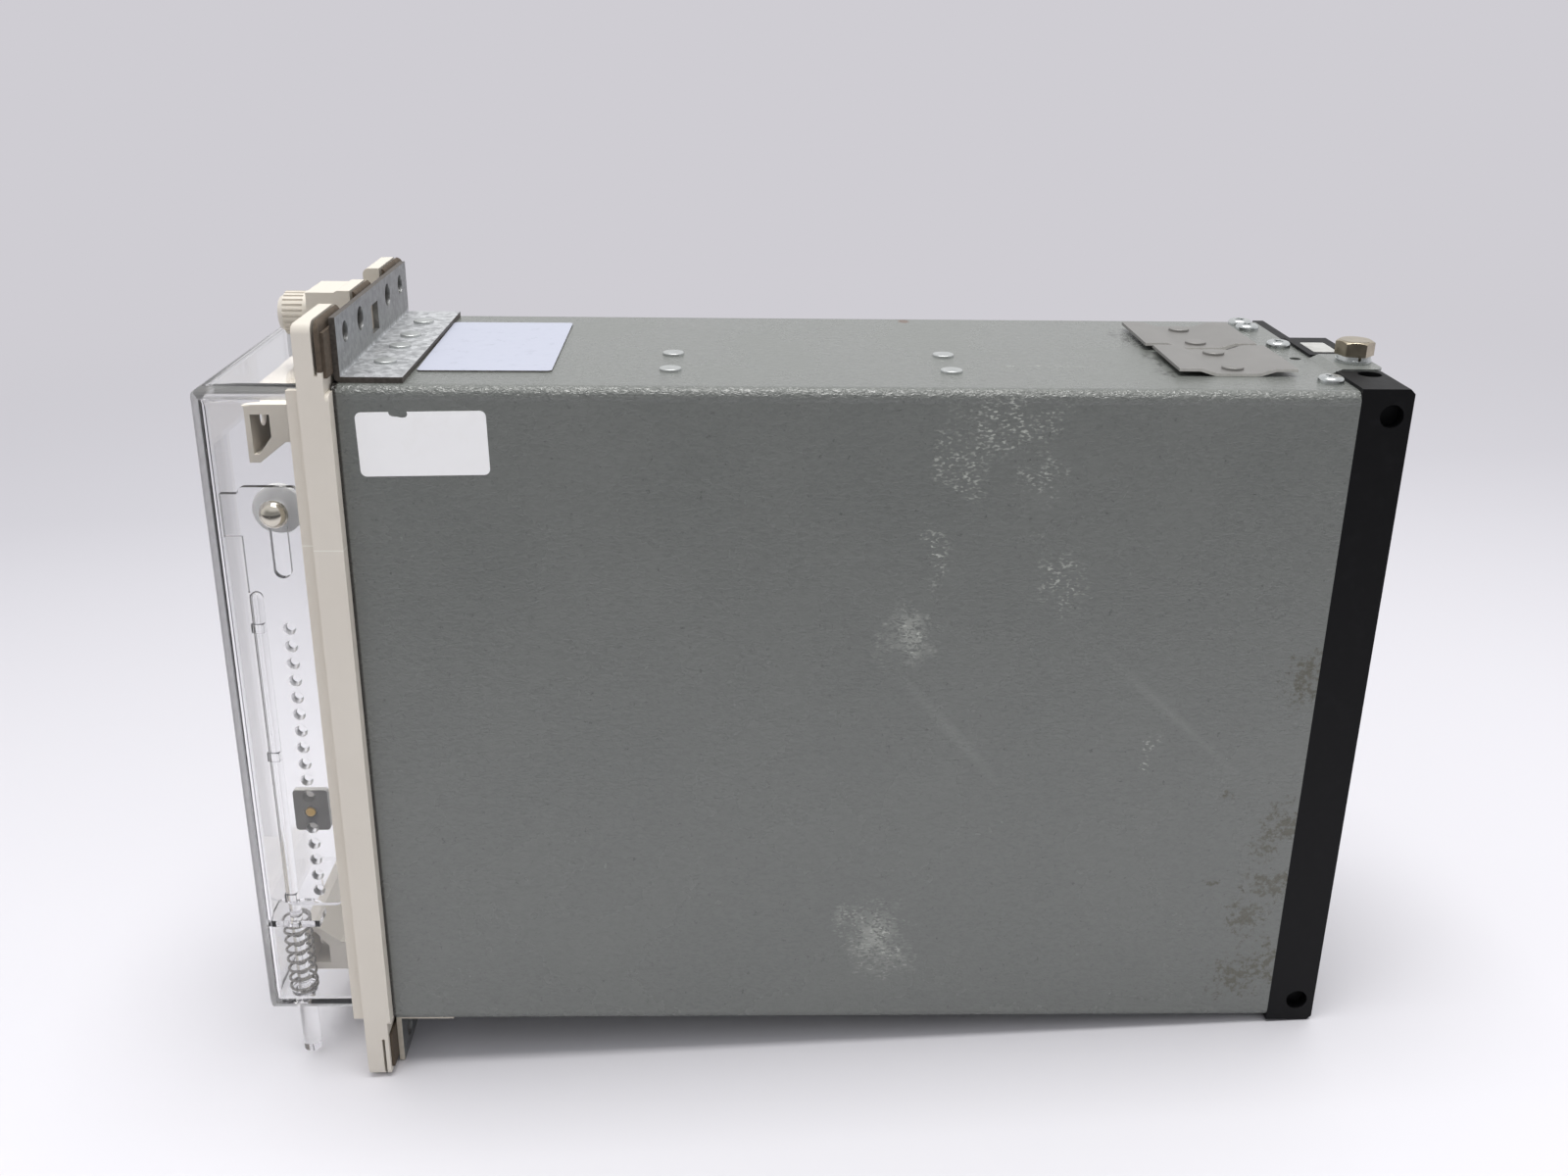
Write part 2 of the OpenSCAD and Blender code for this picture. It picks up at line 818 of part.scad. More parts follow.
// Pan head screws that hold the block and the strip in the case
module block_screws() {
    color("gainsboro") both_ends() at_block_screws() {
        cylinder(fix_head_h, fix_head_r, fix_head_r - fix_dome);
        translate([0, 0, -fix_len]) cylinder(fix_len + fix_head_h / 2, r = fix_r);
    }
}

// Hexagon bolt for the earth lead
module earth_bolt() {
    seat = tongue_top + 2 * washer_t;
    crown_r = earth_crown * earth_af / 2;
    color("burlywood") translate([tongue_x, earth_y, seat]) {
        intersection() {
            rotate(15) cylinder(earth_head_h, r = earth_af / sqrt(3), $fn = 6);
            cylinder(earth_head_h, crown_r + earth_head_h / tan(30), crown_r);
        }
        translate([0, 0, -2 * washer_t - earth_len])
            cylinder(2 * washer_t + earth_len + earth_head_h / 2, r = earth_r);
    }
}

// Plain washer and split spring washer under the bolt head
module earth_washers() {
    color("gainsboro") translate([tongue_x, earth_y, tongue_top]) {
        difference() {
            cylinder(washer_t, r = earth_af / 2 + washer_rim);
            cylinder(4 * washer_t, r = earth_r + fit, center = true);
        }
        translate([0, 0, washer_t]) difference() {
            cylinder(washer_t, r = earth_af / 2 + split_rim);
            cylinder(4 * washer_t, r = earth_r + fit, center = true);
            box([earth_r, -split_gap / 2, -over], [earth_af, split_gap / 2, 2 * washer_t]);
        }
    }
}

// Studs in the middle tabs that the cover nuts run on
module cover_studs() {
    color("silver") both_ends() rod_along_y(0, stud_z, stud_tip, stud_root, stud_r);
}

// Front plate of the unit that draws out
module front_plate() {
    color("gainsboro") difference() {
        along_y(plate_y, plate_back) rounded_rect(plate_w, plate_h, plate_corner);
        both_ends() for (side = [-1, 1])
            rod_along_y(
                side * handle_screw_x, handle_screw_z, plate_y - over, plate_back + over, handle_screw_r + fit
            );
        rod_along_y(0, lens_z, plate_y - over, plate_back + over, lens_r + fit);
    }
}

// Hollow grip with a hooked lip, made as one profile across the plate
module handle() {
    difference() {
        along_x(-handle_w / 2, handle_w / 2) difference() {
            polygon([
                [plate_y, handle_top],
                [handle_front, handle_top],
                [handle_front, handle_foot],
                [handle_front + handle_toe, handle_foot],
                [handle_front + handle_slope, handle_lip],
                [plate_y, handle_lip]
            ]);
            polygon([
                [handle_front + handle_wall, handle_top - handle_roof],
                [handle_bore_y, handle_top - handle_roof],
                [handle_bore_y, handle_lip + handle_wall],
                [handle_front + 2 * handle_wall, handle_foot + handle_roof],
                [handle_front + handle_wall, handle_foot + handle_roof]
            ]);
        }
        for (side = [-1, 1]) {
            rod_along_y(
                side * handle_screw_x, handle_screw_z,
                handle_bore_y - over, plate_y + over, handle_screw_r + fit
            );
            rod_along_y(
                side * handle_screw_x, handle_screw_z,
                handle_front - over, handle_bore_y - over, handle_head_r + handle_head_room
            );
        }
    }
}

module top_handle() {
    color("antiquewhite") handle();
}

module bottom_handle() {
    color("antiquewhite") mirror([0, 0, 1]) handle();
}

module handle_screws() {
    color("silver") both_ends() for (side = [-1, 1]) {
        rod_along_y(
            side * handle_screw_x, handle_screw_z, handle_bore_y - handle_head_h, handle_bore_y, handle_head_r
        );
        rod_along_y(
            side * handle_screw_x, handle_screw_z,
            handle_bore_y - handle_head_h / 2, plate_back, handle_screw_r
        );
    }
}

// Bent tray that ties the front plate, the board and the rear connector
module chassis_rail() {
    under = chassis_z - chassis_lip;
    box([chassis_x0, plate_back, chassis_z - chassis_t], [board_x0, plug_y, chassis_z]);
    box([chassis_x0, plate_back, under], [board_x0, plate_back + chassis_t, chassis_z]);
    box([chassis_x0, plug_y - chassis_t, under], [board_x0, plug_y, chassis_z]);
    box([board_x0 - chassis_t, plate_back, under], [board_x0, plug_y, chassis_z]);
}

module chassis_top() {
    color("lightgray") chassis_rail();
}

module chassis_bottom() {
    color("lightgray") mirror([0, 0, 1]) chassis_rail();
}

module main_board() {
    color("darkgreen") box(
        [board_x0, plate_back + chassis_t, -board_half_h],
        [board_x1, plug_y, board_half_h]
    );
}

module side_board() {
    color("darkgreen") box(
        [side_board_x - board_t / 2, spacer_y[0] - board_edge, spacer_z[0] - board_edge],
        [side_board_x + board_t / 2, spacer_y[1] + board_edge, spacer_z[1] + board_edge]
    );
}

module board_spacers() {
    color("goldenrod") for (y = spacer_y, z = spacer_z)
        rod_along_x(y, z, side_board_x + board_t / 2, board_x0, spacer_r);
}

// Laminated core: an outer frame and a middle limb
module transformer_core() {
    core_x = board_x1 + coil_rise;
    color("dimgray") difference() {
        box([core_x, core_y, core_z], [core_x + core_t, core_y + core_l, core_z + core_h]);
        for (side = [-1, 1])
            translate([core_x, core_y + core_l / 2 + side * limb_pitch, core_z + core_h / 2])
                cube([3 * core_t, window_l, window_h], center = true);
    }
}

// Winding round the middle limb, resting on the board
module transformer_coil() {
    limb = 2 * limb_pitch - window_l;
    middle_y = core_y + core_l / 2;
    middle_z = core_z + core_h / 2;
    color("peru") difference() {
        along_x(board_x1, board_x1 + core_t + 2 * coil_rise) translate([middle_y, middle_z])
            rounded_rect(limb + 2 * window_l - 2 * play, window_h - 2 * play, 2);
        along_x(board_x1 + coil_rise - play, board_x1 + coil_rise + core_t + play)
            translate([middle_y, middle_z]) square([limb + 2 * play, window_h], center = true);
    }
}

module output_relays() {
    color("lightsteelblue") for (z = relay_z) translate([board_x1, relay_y, z]) cube(relay_size);
}

module capacitors() {
    color("darkslategray") for (y = can_y) rod_along_x(y, can_z, board_x1, board_x1 + can_h, can_r);
}

// Moulded bar on the board's rear edge
module rear_connector() {
    color("dimgray") difference() {
        box(
            [board_x - plug_w / 2, plug_y, -channel_half],
            [board_x + plug_w / 2, plug_y + plug_t, channel_half]
        );
        for (side = [-1, 1], row = [0 : row_count - 1])
            translate([board_x + side * blade_x, plug_y + plug_t, (row - (row_count - 1) / 2) * row_pitch])
                cube([blade_t + 2 * fit, 2 * blade_sink, blade_w + 2 * fit], center = true);
    }
}

// Flat blades that plug into the terminal block
module plug_blades() {
    color("gold") for (side = [-1, 1], row = [0 : row_count - 1])
        translate([
            board_x + side * blade_x,
            plug_y + plug_t - blade_sink + blade_len / 2,
            (row - (row_count - 1) / 2) * row_pitch
        ]) cube([blade_t, blade_len, blade_w], center = true);
}

// Lens of the trip indicator
module indicator_lens() {
    color("firebrick") {
        rod_along_y(0, lens_z, plate_y, plate_back, lens_r);
        rod_along_y(0, lens_z, plate_y - lens_rise, plate_y, lens_r + lens_rim);
    }
}

// Block with all its front edges round, from the face to the rear plane
module cover_block(w, h, face, rear, r) {
    middle = face + h;
    intersection() {
        along_y(face, rear) rounded_rect(w, h, r);
        along_x(-w, w) translate([middle, 0]) rounded_rect(2 * h, h, r);
        translate([0, middle, -h]) linear_extrude(2 * h) rounded_rect(w, 2 * h, r);
    }
}

// Clear cover with nut lugs, a spring shelf and holes for the reset parts
module front_cover() {
    color("lightcyan", 0.4) difference() {
        union() {
            difference() {
                cover_block(cover_w, cover_h, cover_face, cover_rear, cover_r);
                cover_block(
                    cover_w - 2 * cover_wall, cover_h - 2 * cover_wall,
                    cover_face + cover_wall, cover_rear + over, cover_r - cover_wall
                );
            }
            both_ends() along_y(lug_front, lug_front + lug_t)
                translate([0, (cover_in_z + over + lug_top) / 2])
                    rounded_rect(lug_w, lug_top - cover_in_z - over, lug_corner);
            intersection() {
                box([shelf_x0, cover_face, shelf_z - shelf_t], [cover_in_x + over, shelf_y1, shelf_z]);
                translate([cover_in_x, (shelf_y0 + shelf_y1) / 2, shelf_z - frame_h])
                    linear_extrude(2 * frame_h)
                        rounded_rect(2 * (cover_in_x - shelf_x0), shelf_y1 - shelf_y0, shelf_corner);
            }
        }
        both_ends() rod_along_y(0, stud_z, lug_front - over, lug_front + lug_t + over, stud_r + play);
        translate([rod_x, rod_y, shelf_z]) cylinder(4 * shelf_t, r = rod_r + run, center = true);
        translate([rod_x, rod_y, -cover_h / 2]) cylinder(4 * cover_wall, r = push_r + run, center = true);
        rod_along_x(guide_axis_y, guide_z, cover_in_x - over, cover_w, slot_r - 2 * play + fit);
    }
}

// Domed stud through the cover's side wall
module guide_stud() {
    dome = 0.8 * dome_r;
    globe = (dome_r * dome_r + dome * dome) / (2 * dome);
    shank = slot_r - 2 * play;
    color("silver") translate([cover_w / 2, guide_axis_y, guide_z]) rotate([0, 90, 0]) {
        intersection() {
            translate([0, 0, dome - globe]) sphere(globe);
            cylinder(dome, r = dome_r);
        }
        translate([0, 0, -cover_wall]) cylinder(cover_wall + dome / 2, r = shank);
    }
}

// Nylon bush on the stud: a hub that runs in the slot and a disc that keeps the slide in
module guide_bush() {
    color("white", 0.8) {
        rod_along_x(guide_axis_y, guide_z, slide_in - play - bush_t, slide_in - play, bush_r);
        rod_along_x(guide_axis_y, guide_z, slide_in - play - hub_sink, cover_in_x, slot_r - play);
    }
}

// One ring of a wire of radius r, at an angle round the spring's axis
function wire_ring(angle, z, sides) = [
    for (k = [0 : sides - 1])
        let (a = 360 * k / sides, out = spring_r - wire_r + wire_r * cos(a))
            [out * cos(angle), out * sin(angle), z + wire_r * sin(a)]
];

// Height of the wire's centre: closed ends, open turns between them
function wire_z(turn, ends, height) =
    turn < ends ? turn * 2.1 * wire_r
    : turn < ends + spring_turns ? ends * 2.1 * wire_r
        + (turn - ends) * (height - 4.2 * ends * wire_r) / spring_turns
    : height - (2 * ends + spring_turns - turn) * 2.1 * wire_r;

// Return spring between the rod's collar and the shelf
module reset_spring() {
    sides = 6;
    steps = 20;
    ends = 1;
    last = steps * (spring_turns + 2 * ends);
    height = spring_head - spring_foot - 2 * wire_r - 2 * fit;
    points = [
        for (i = [0 : last])
            each wire_ring(360 * i / steps, wire_z(i / steps, ends, height), sides)
    ];
    walls = [
        for (i = [0 : last - 1], k = [0 : sides - 1])
            let (m = (k + 1) % sides)
                [i * sides + k, i * sides + m, (i + 1) * sides + m, (i + 1) * sides + k]
    ];
    caps = [
        [for (k = [sides - 1 : -1 : 0]) k],
        [for (k = [0 : sides - 1]) last * sides + k]
    ];
    color("lightgray") translate([rod_x, rod_y, spring_foot + wire_r + fit])
        polyhedron(points, concat(walls, caps));
}

// Knurled nut with a plain flange, bored through for its stud
module knurled_nut() {
    color("antiquewhite") translate([0, nut_rear, stud_z]) rotate([90, 0, 0]) difference() {
        union() {
            difference() {
                cylinder(nut_len - nut_crown, r = nut_r);
                for (k = [1 : nut_flutes]) rotate(360 * k / nut_flutes)
                    translate([nut_r, 0, nut_flange]) cylinder(nut_len, r = flute_r, $fn = 16);
            }
            translate([0, 0, nut_len - nut_crown]) cylinder(nut_crown, nut_r - flute_r, nut_r - nut_bevel);
        }
        translate([0, 0, -over]) cylinder(nut_len - nut_skin + over, r = stud_r + run);
    }
}

module top_nut() {
    knurled_nut();
}

module bottom_nut() {
    mirror([0, 0, 1]) knurled_nut();
}

// Clear slide: a slotted, pierced plate with a rod that ends in the push button
module reset_slide() {
    color("aliceblue", 0.5) {
        difference() {
            union() {
                along_x(slide_in, slide_out)
                    translate([(slide_y0 + slide_y1) / 2, (slide_top + slide_bottom) / 2])
                        rounded_rect(slide_y1 - slide_y0, slide_top - slide_bottom, slide_corner);
                box(
                    [slide_in, slide_y0 - ear_out, slide_top - slide_corner - ear_h],
                    [slide_out, slide_y0 + slide_corner, slide_top - slide_corner]
                );
            }
            rod_along_x(guide_axis_y, guide_z, slide_in - over, slide_out + over, slot_r);
            rod_along_x(guide_axis_y, slot_foot + slot_r, slide_in - over, slide_out + over, slot_r);
            box(
                [slide_in - over, guide_axis_y - slot_r, slot_foot + slot_r],
                [slide_out + over, guide_axis_y + slot_r, guide_z]
            );
            for (k = [0 : hole_count - 1])
                translate([slide_in - fit, guide_axis_y, hole_top - k * hole_pitch])
                    rotate([0, 90, 0]) cylinder(slide_t + 2 * fit, hole_r - hole_sink, hole_r);
            rod_along_x(guide_axis_y, pad_z, slide_in - over, slide_out + over, pin_r + fit);
        }
        translate([rod_x, rod_y, spring_foot - collar_t])
            cylinder(rod_top - spring_foot + collar_t, r = rod_r);
        translate([rod_x, rod_y, rod_top]) sphere(rod_r);
        for (z = web_z) translate([rod_x, rod_y, z])
            box([0, -rod_r, -web_h / 2], [slide_in + slide_t / 4 - rod_x, rod_r, web_h / 2]);
        translate([rod_x, rod_y, spring_foot - collar_t]) cylinder(collar_t, r = collar_r);
        translate([rod_x, rod_y, -cover_h / 2 - push_len])
            cylinder(push_len + cover_h / 2 + collar_z + collar_t / 2, r = push_r);
    }
}

// Grey striker pad behind the slide
module reset_pad() {
    color("gray") difference() {
        along_x(slide_in - pad_t, slide_in) translate([guide_axis_y, pad_z])
            rounded_rect(pad_w, pad_h, pad_corner);
        rod_along_x(guide_axis_y, pad_z, slide_in - pad_t - over, slide_in + over, pin_r + fit);
    }
}

// Brass pin that fixes the pad in one of the holes
module reset_pin() {
    color("goldenrod") rod_along_x(guide_axis_y, pad_z, slide_in - pad_t, slide_out, pin_r);
}

case_shell();
front_frame();
top_bracket();
bottom_bracket();
bracket_rivets();
frame_gaskets();
top_guide();
bottom_guide();
guide_rivets();
coupling_plate_right();
coupling_plate_left();
coupling_rivets();
terminal_block();
blanking_strip();
terminal_tags();
terminal_screws();
block_screws();
earth_bolt();
earth_washers();
cover_studs();
front_plate();
top_handle();
bottom_handle();
handle_screws();
chassis_top();
chassis_bottom();
main_board();
side_board();
board_spacers();
transformer_core();
transformer_coil();
output_relays();
capacitors();
rear_connector();
plug_blades();
indicator_lens();
front_cover();
guide_stud();
guide_bush();
reset_spring();
top_nut();
bottom_nut();
reset_slide();
reset_pad();
reset_pin();
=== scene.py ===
import math

import bpy
from mathutils import Matrix, Vector


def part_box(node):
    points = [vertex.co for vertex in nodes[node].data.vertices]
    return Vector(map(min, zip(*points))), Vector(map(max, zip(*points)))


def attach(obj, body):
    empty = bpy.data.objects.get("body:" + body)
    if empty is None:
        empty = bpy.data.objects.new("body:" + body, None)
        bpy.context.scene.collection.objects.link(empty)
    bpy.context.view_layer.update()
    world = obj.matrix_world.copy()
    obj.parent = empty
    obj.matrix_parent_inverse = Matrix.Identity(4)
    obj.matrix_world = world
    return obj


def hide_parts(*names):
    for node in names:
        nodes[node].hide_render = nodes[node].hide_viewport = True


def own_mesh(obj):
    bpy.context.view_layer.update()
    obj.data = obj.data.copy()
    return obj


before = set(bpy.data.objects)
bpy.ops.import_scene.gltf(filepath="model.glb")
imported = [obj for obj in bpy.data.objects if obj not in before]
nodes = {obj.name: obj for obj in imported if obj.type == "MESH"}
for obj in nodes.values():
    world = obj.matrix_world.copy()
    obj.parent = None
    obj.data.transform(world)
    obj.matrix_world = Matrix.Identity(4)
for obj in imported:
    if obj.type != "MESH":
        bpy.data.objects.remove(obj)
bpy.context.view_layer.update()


# Case: a sleeve folded from 1.2 mm mild steel, open at both ends, with an earthing tongue on its top edge.
# It is stove enamelled in grey with a fine leathery grain, which sparkles along each bend under the lamps.
# Years of racking have scraped the grain white in places and left brown stains near the terminal block.
MM = 0.001


def linear(code):
    """An sRGB hex colour as the linear colour that a shader reads."""
    parts = [int(code[i:i + 2], 16) / 255 for i in (1, 3, 5)]
    return [c / 12.92 if c <= 0.04045 else ((c + 0.055) / 1.055) ** 2.4 for c in parts] + [1.0]


def add(tree, kind, inputs=None, **fields):
    """Adds one node, with its settings, and sets or links its inputs."""
    made = tree.nodes.new("ShaderNode" + kind)
    for name, value in fields.items():
        setattr(made, name, value)
    for name, value in (inputs or {}).items():
        if isinstance(value, bpy.types.NodeSocket):
            tree.links.new(value, made.inputs[name])
        else:
            made.inputs[name].default_value = value
    return made


def begin(name, **sockets):
    """Starts a material: its nodes, its shader with these sockets set, and the object's own coordinates."""
    material = bpy.data.materials.new(name)
    material.use_nodes = True
    tree = material.node_tree
    shader = tree.nodes["Principled BSDF"]
    for socket, value in sockets.items():
        shader.inputs[socket.replace("_", " ")].default_value = value
    place = add(tree, "TexCoord").outputs["Object"]
    return material, tree, shader, place


def marks(tree, place, spots):
    """How near a point is to the closest mark, each with its centre, reach (mm) and turn about X (degrees)."""
    nearest = None
    for centre, reach, turn in spots:
        spot = add(tree, "Mapping", {
            "Vector": place, "Location": [c * MM for c in centre], "Rotation": (math.radians(turn), 0, 0),
            "Scale": [r * MM for r in reach]}, vector_type="TEXTURE")
        glow = add(tree, "TexGradient", {"Vector": spot.outputs[0]}, gradient_type="SPHERICAL").outputs["Fac"]
        nearest = glow if nearest is None else add(
            tree, "Math", {0: nearest, 1: glow}, operation="MAXIMUM").outputs[0]
    return nearest


def finish_nodes(material, *names):
    """Gives CAD nodes this material."""
    for name in names:
        nodes[name].data.materials.clear()
        nodes[name].data.materials.append(material)


# Where the side and the top of the case lie, in the millimetres that marks are placed in
side_x, top_z = 35.5, 75.25
enamel, tree, shader, place = begin("stove_enamelled_steel", Specular_IOR_Level=0.75)
combed = add(tree, "Mapping", {"Vector": place, "Scale": (1.0, 0.6, 1.2)})
grain = add(tree, "TexNoise", {
    "Vector": combed.outputs[0], "Scale": 1 / (0.8 * MM),
    "Detail": 2.5, "Roughness": 0.55, "Distortion": 0.8})
cloud = add(tree, "TexNoise", {"Vector": place, "Scale": 1 / (38 * MM), "Detail": 5.0, "Roughness": 0.6})
tone = add(tree, "Mix", {
    0: cloud.outputs["Fac"], 6: linear("#6A6D6A"), 7: linear("#767975")}, data_type="RGBA")
# Painted shade: the hollows of the grain are drawn darker
grain_hollow_shade = add(tree, "MapRange", {
    "Value": grain.outputs["Fac"], "From Min": 0.3, "From Max": 0.6, "To Min": 0.2, "To Max": 0.0})
colour = add(tree, "Mix", {
    0: grain_hollow_shade.outputs[0], 6: tone.outputs[2], 7: linear("#4B4D4B")}, data_type="RGBA")
# Scraped places with ragged outlines, where only the peaks of the grain have lost their colour
rag = add(tree, "TexNoise", {"Vector": place, "Scale": 1 / (7 * MM), "Detail": 3.0, "Roughness": 0.6})
offset = add(tree, "VectorMath", {0: rag.outputs["Color"], 1: (0.5, 0.5, 0.5)}, operation="SUBTRACT")
offset = add(tree, "VectorMath", {0: offset.outputs[0], 1: (0.0, 14 * MM, 14 * MM)}, operation="MULTIPLY")
ragged = add(tree, "VectorMath", {0: place, 1: offset.outputs[0]}, operation="ADD").outputs[0]
worn_flat = [
    ((side_x, 114, 22), (3, 8, 9), 20),
    ((side_x, 110, -53), (3, 9.5, 13), 15),
]
scraped = marks(tree, ragged, worn_flat + [
    ((side_x, 124.5, 61), (3, 7, 11), 12),
    ((side_x, 131, 68), (3, 13, 7), 0),
    ((side_x, 141, 69.5), (3, 6, 4), 0),
    ((side_x, 140, 57.5), (3, 5, 7), 12),
    ((side_x, 140, 43), (3, 2.5, 2), 0),
    ((side_x, 146, 34), (3, 5, 10), 20),
    ((side_x, 120, 40), (3, 3, 9), 10),
    ((side_x, 168, -6), (3, 8, 2), 49),
    ((14.6, 144, top_z), (1.8, 13, 2), 0),
])
dots = add(tree, "TexNoise", {"Vector": combed.outputs[0], "Scale": 1 / (0.62 * MM), "Detail": 1.5})
patch = add(tree, "TexNoise", {"Vector": place, "Scale": 1 / (2.8 * MM), "Detail": 2.0})
peaks = add(tree, "MapRange", {"Value": dots.outputs["Fac"], "From Min": 0.54, "From Max": 0.66})
patches = add(tree, "MapRange", {
    "Value": patch.outputs["Fac"], "From Min": 0.36, "From Max": 0.6, "To Min": 0.1})
reached = add(tree, "MapRange", {"Value": scraped, "From Min": 0.02, "From Max": 0.65, "To Max": 0.95})
bare = add(tree, "Math", {0: peaks.outputs[0], 1: patches.outputs[0]}, operation="MULTIPLY")
bare = add(tree, "Math", {0: bare.outputs[0], 1: reached.outputs[0]}, operation="MULTIPLY")
# Two of them are pale all over in the middle, but for the hollows of the grain
film = add(tree, "MapRange", {
    "Value": marks(tree, ragged, worn_flat), "From Min": 0.2, "From Max": 0.85, "To Max": 0.5})
raised = add(tree, "MapRange", {"Value": grain.outputs["Fac"], "From Min": 0.42, "From Max": 0.52})
film = add(tree, "Math", {0: film.outputs[0], 1: raised.outputs[0]}, operation="MULTIPLY")
bare = add(tree, "Math", {0: bare.outputs[0], 1: film.outputs[0]}, operation="MAXIMUM")
colour = add(tree, "Mix", {
    0: bare.outputs[0], 6: colour.outputs[2], 7: linear("#B4B7AF")}, data_type="RGBA")
# Two long rub marks that polished the enamel a little paler
rubbed = marks(tree, place, [
    ((side_x, 171.5, 4.5), (3, 27, 1.5), -42),
    ((side_x, 124.5, 0), (3, 20, 1.8), -49),
])
pale = add(tree, "Math", {0: rubbed, 1: 0.18}, operation="MULTIPLY")
colour = add(tree, "Mix", {
    0: pale.outputs[0], 6: colour.outputs[2], 7: linear("#9C9F9A")}, data_type="RGBA")
# Brown stains that gather towards the rear edge, and one rusty dent at the far edge of the top
stained = marks(tree, ragged, [
    ((side_x, 200, 13), (3, 7, 9), -30),
    ((side_x, 199, -24), (3, 6, 12), -12),
    ((side_x, 199, -39), (3, 6, 6), 0),
    ((side_x, 195, -48), (3, 7, 9), -30),
    ((side_x, 194, -63), (3, 8, 10), 0),
    ((side_x, 201, -60), (3, 5, 9), 10),
    ((side_x, 186.5, -39), (3, 2.5, 2.5), 0),
    ((side_x, 187, -16), (3, 1.8, 1.5), 0),
])
blot = add(tree, "TexNoise", {"Vector": place, "Scale": 1 / (1.3 * MM), "Detail": 5.0, "Roughness": 0.7})
blotted = add(tree, "Math", {0: stained, 1: 0.26, 2: blot.outputs["Fac"]}, operation="MULTIPLY_ADD")
blotted = add(tree, "MapRange", {
    "Value": blotted.outputs[0], "From Min": 0.61, "From Max": 0.74, "To Max": 0.72})
near = add(tree, "MapRange", {"Value": stained, "From Max": 0.12})
stain = add(tree, "Math", {0: blotted.outputs[0], 1: near.outputs[0]}, operation="MULTIPLY")
colour = add(tree, "Mix", {
    0: stain.outputs[0], 6: colour.outputs[2], 7: linear("#4E4B3A")}, data_type="RGBA")
dent = marks(tree, place, [((-31.1, 117.6, 75.2), (2.6, 1.9, 2), 0)])
rusty = add(tree, "MapRange", {"Value": dent, "From Min": 0.2, "From Max": 0.45})
colour = add(tree, "Mix", {
    0: rusty.outputs[0], 6: colour.outputs[2], 7: linear("#5B4433")}, data_type="RGBA")
# Black grime and painted shade along the front edges of the coupling plates
grime_and_shade = marks(tree, ragged, [
    ((9, 168.5, top_z), (14, 3.5, 4), 0),
    ((21, 168.8, top_z), (7, 3.0, 4), 0),
    ((-14, 166, top_z), (12, 3, 4), 0),
])
grime_and_shade = add(tree, "Math", {0: grime_and_shade, 1: 0.3, 2: blot.outputs["Fac"]}, operation="MULTIPLY_ADD")
grime_and_shade = add(tree, "MapRange", {
    "Value": grime_and_shade.outputs[0], "From Min": 0.62, "From Max": 0.76, "To Max": 0.75})
colour = add(tree, "Mix", {
    0: grime_and_shade.outputs[0], 6: colour.outputs[2], 7: linear("#3A3B39")}, data_type="RGBA")
# Painted shadow: a dark band on the case in the joint behind the front frame
apart = add(tree, "SeparateXYZ", {"Vector": place})
joint_shadow = add(tree, "MapRange", {
    "Value": apart.outputs["Y"], "From Min": -0.65 * MM, "From Max": -0.3 * MM,
    "To Min": 0.92, "To Max": 0.0})
colour = add(tree, "Mix", {
    0: joint_shadow.outputs[0], 6: colour.outputs[2], 7: linear("#23201D")}, data_type="RGBA")
tree.links.new(colour.outputs[2], shader.inputs["Base Color"])
matt = add(tree, "MapRange", {
    "Value": cloud.outputs["Fac"], "From Min": 0.3, "From Max": 0.7, "To Min": 0.22, "To Max": 0.32})
tree.links.new(matt.outputs[0], shader.inputs["Roughness"])
# The enamel draws up into coarser wrinkles along the bends
outward = add(tree, "VectorMath", {0: place}, operation="ABSOLUTE")
outward = add(tree, "SeparateXYZ", {"Vector": outward.outputs[0]})
near_side = add(tree, "MapRange", {
    "Value": outward.outputs["X"], "From Min": 32.8 * MM, "From Max": 34.4 * MM})
near_top = add(tree, "MapRange", {
    "Value": outward.outputs["Z"], "From Min": 72.4 * MM, "From Max": 74.0 * MM})
bend = add(tree, "Math", {0: near_side.outputs[0], 1: near_top.outputs[0]}, operation="MULTIPLY")
swell = add(tree, "Math", {0: bend.outputs[0], 1: 2.4, 2: 1.0}, operation="MULTIPLY_ADD")
height = add(tree, "Math", {0: grain.outputs["Fac"], 1: swell.outputs[0]}, operation="MULTIPLY")
relief = add(tree, "Bump", {"Height": height.outputs[0], "Strength": 0.55, "Distance": 0.28 * MM})
tree.links.new(relief.outputs[0], shader.inputs["Normal"])
finish_nodes(enamel, "case_shell")


# Labels: a torn blank sticker on the side, a blank foil plate on the top and a small blank tab on the block.
# They are cut from gloss-coated paper and thin foil, and stuck on by hand, slightly askew.
def only(*pieces):
    """Selects these pieces alone."""
    bpy.ops.object.select_all(action="DESELECT")
    for piece in pieces:
        piece.select_set(True)
    bpy.context.view_layer.objects.active = pieces[-1]


def settle(piece):
    """Leaves a piece at the origin, unturned and unscaled."""
    only(piece)
    bpy.ops.object.transform_apply(location=True, rotation=True, scale=True)


def label(name, width, height, thick, corner, matrix):
    """A thin sheet with round corners, laid on a face by a matrix whose Z axis leaves that face."""
    bpy.ops.object.select_all(action="DESELECT")
    bpy.ops.mesh.primitive_plane_add(size=1)
    piece = bpy.context.object
    piece.name = name
    piece.scale = (width, height, 1)
    settle(piece)
    bpy.ops.object.mode_set(mode="EDIT")
    bpy.ops.mesh.select_all(action="SELECT")
    bpy.ops.mesh.bevel(offset=corner, segments=5, affect="VERTICES")
    bpy.ops.mesh.extrude_region_move(TRANSFORM_OT_translate={"value": (0, 0, thick)})
    bpy.ops.mesh.select_all(action="SELECT")
    bpy.ops.mesh.normals_make_consistent(inside=False)
    bpy.ops.object.mode_set(mode="OBJECT")
    piece.matrix_world = matrix
    settle(piece)
    return piece


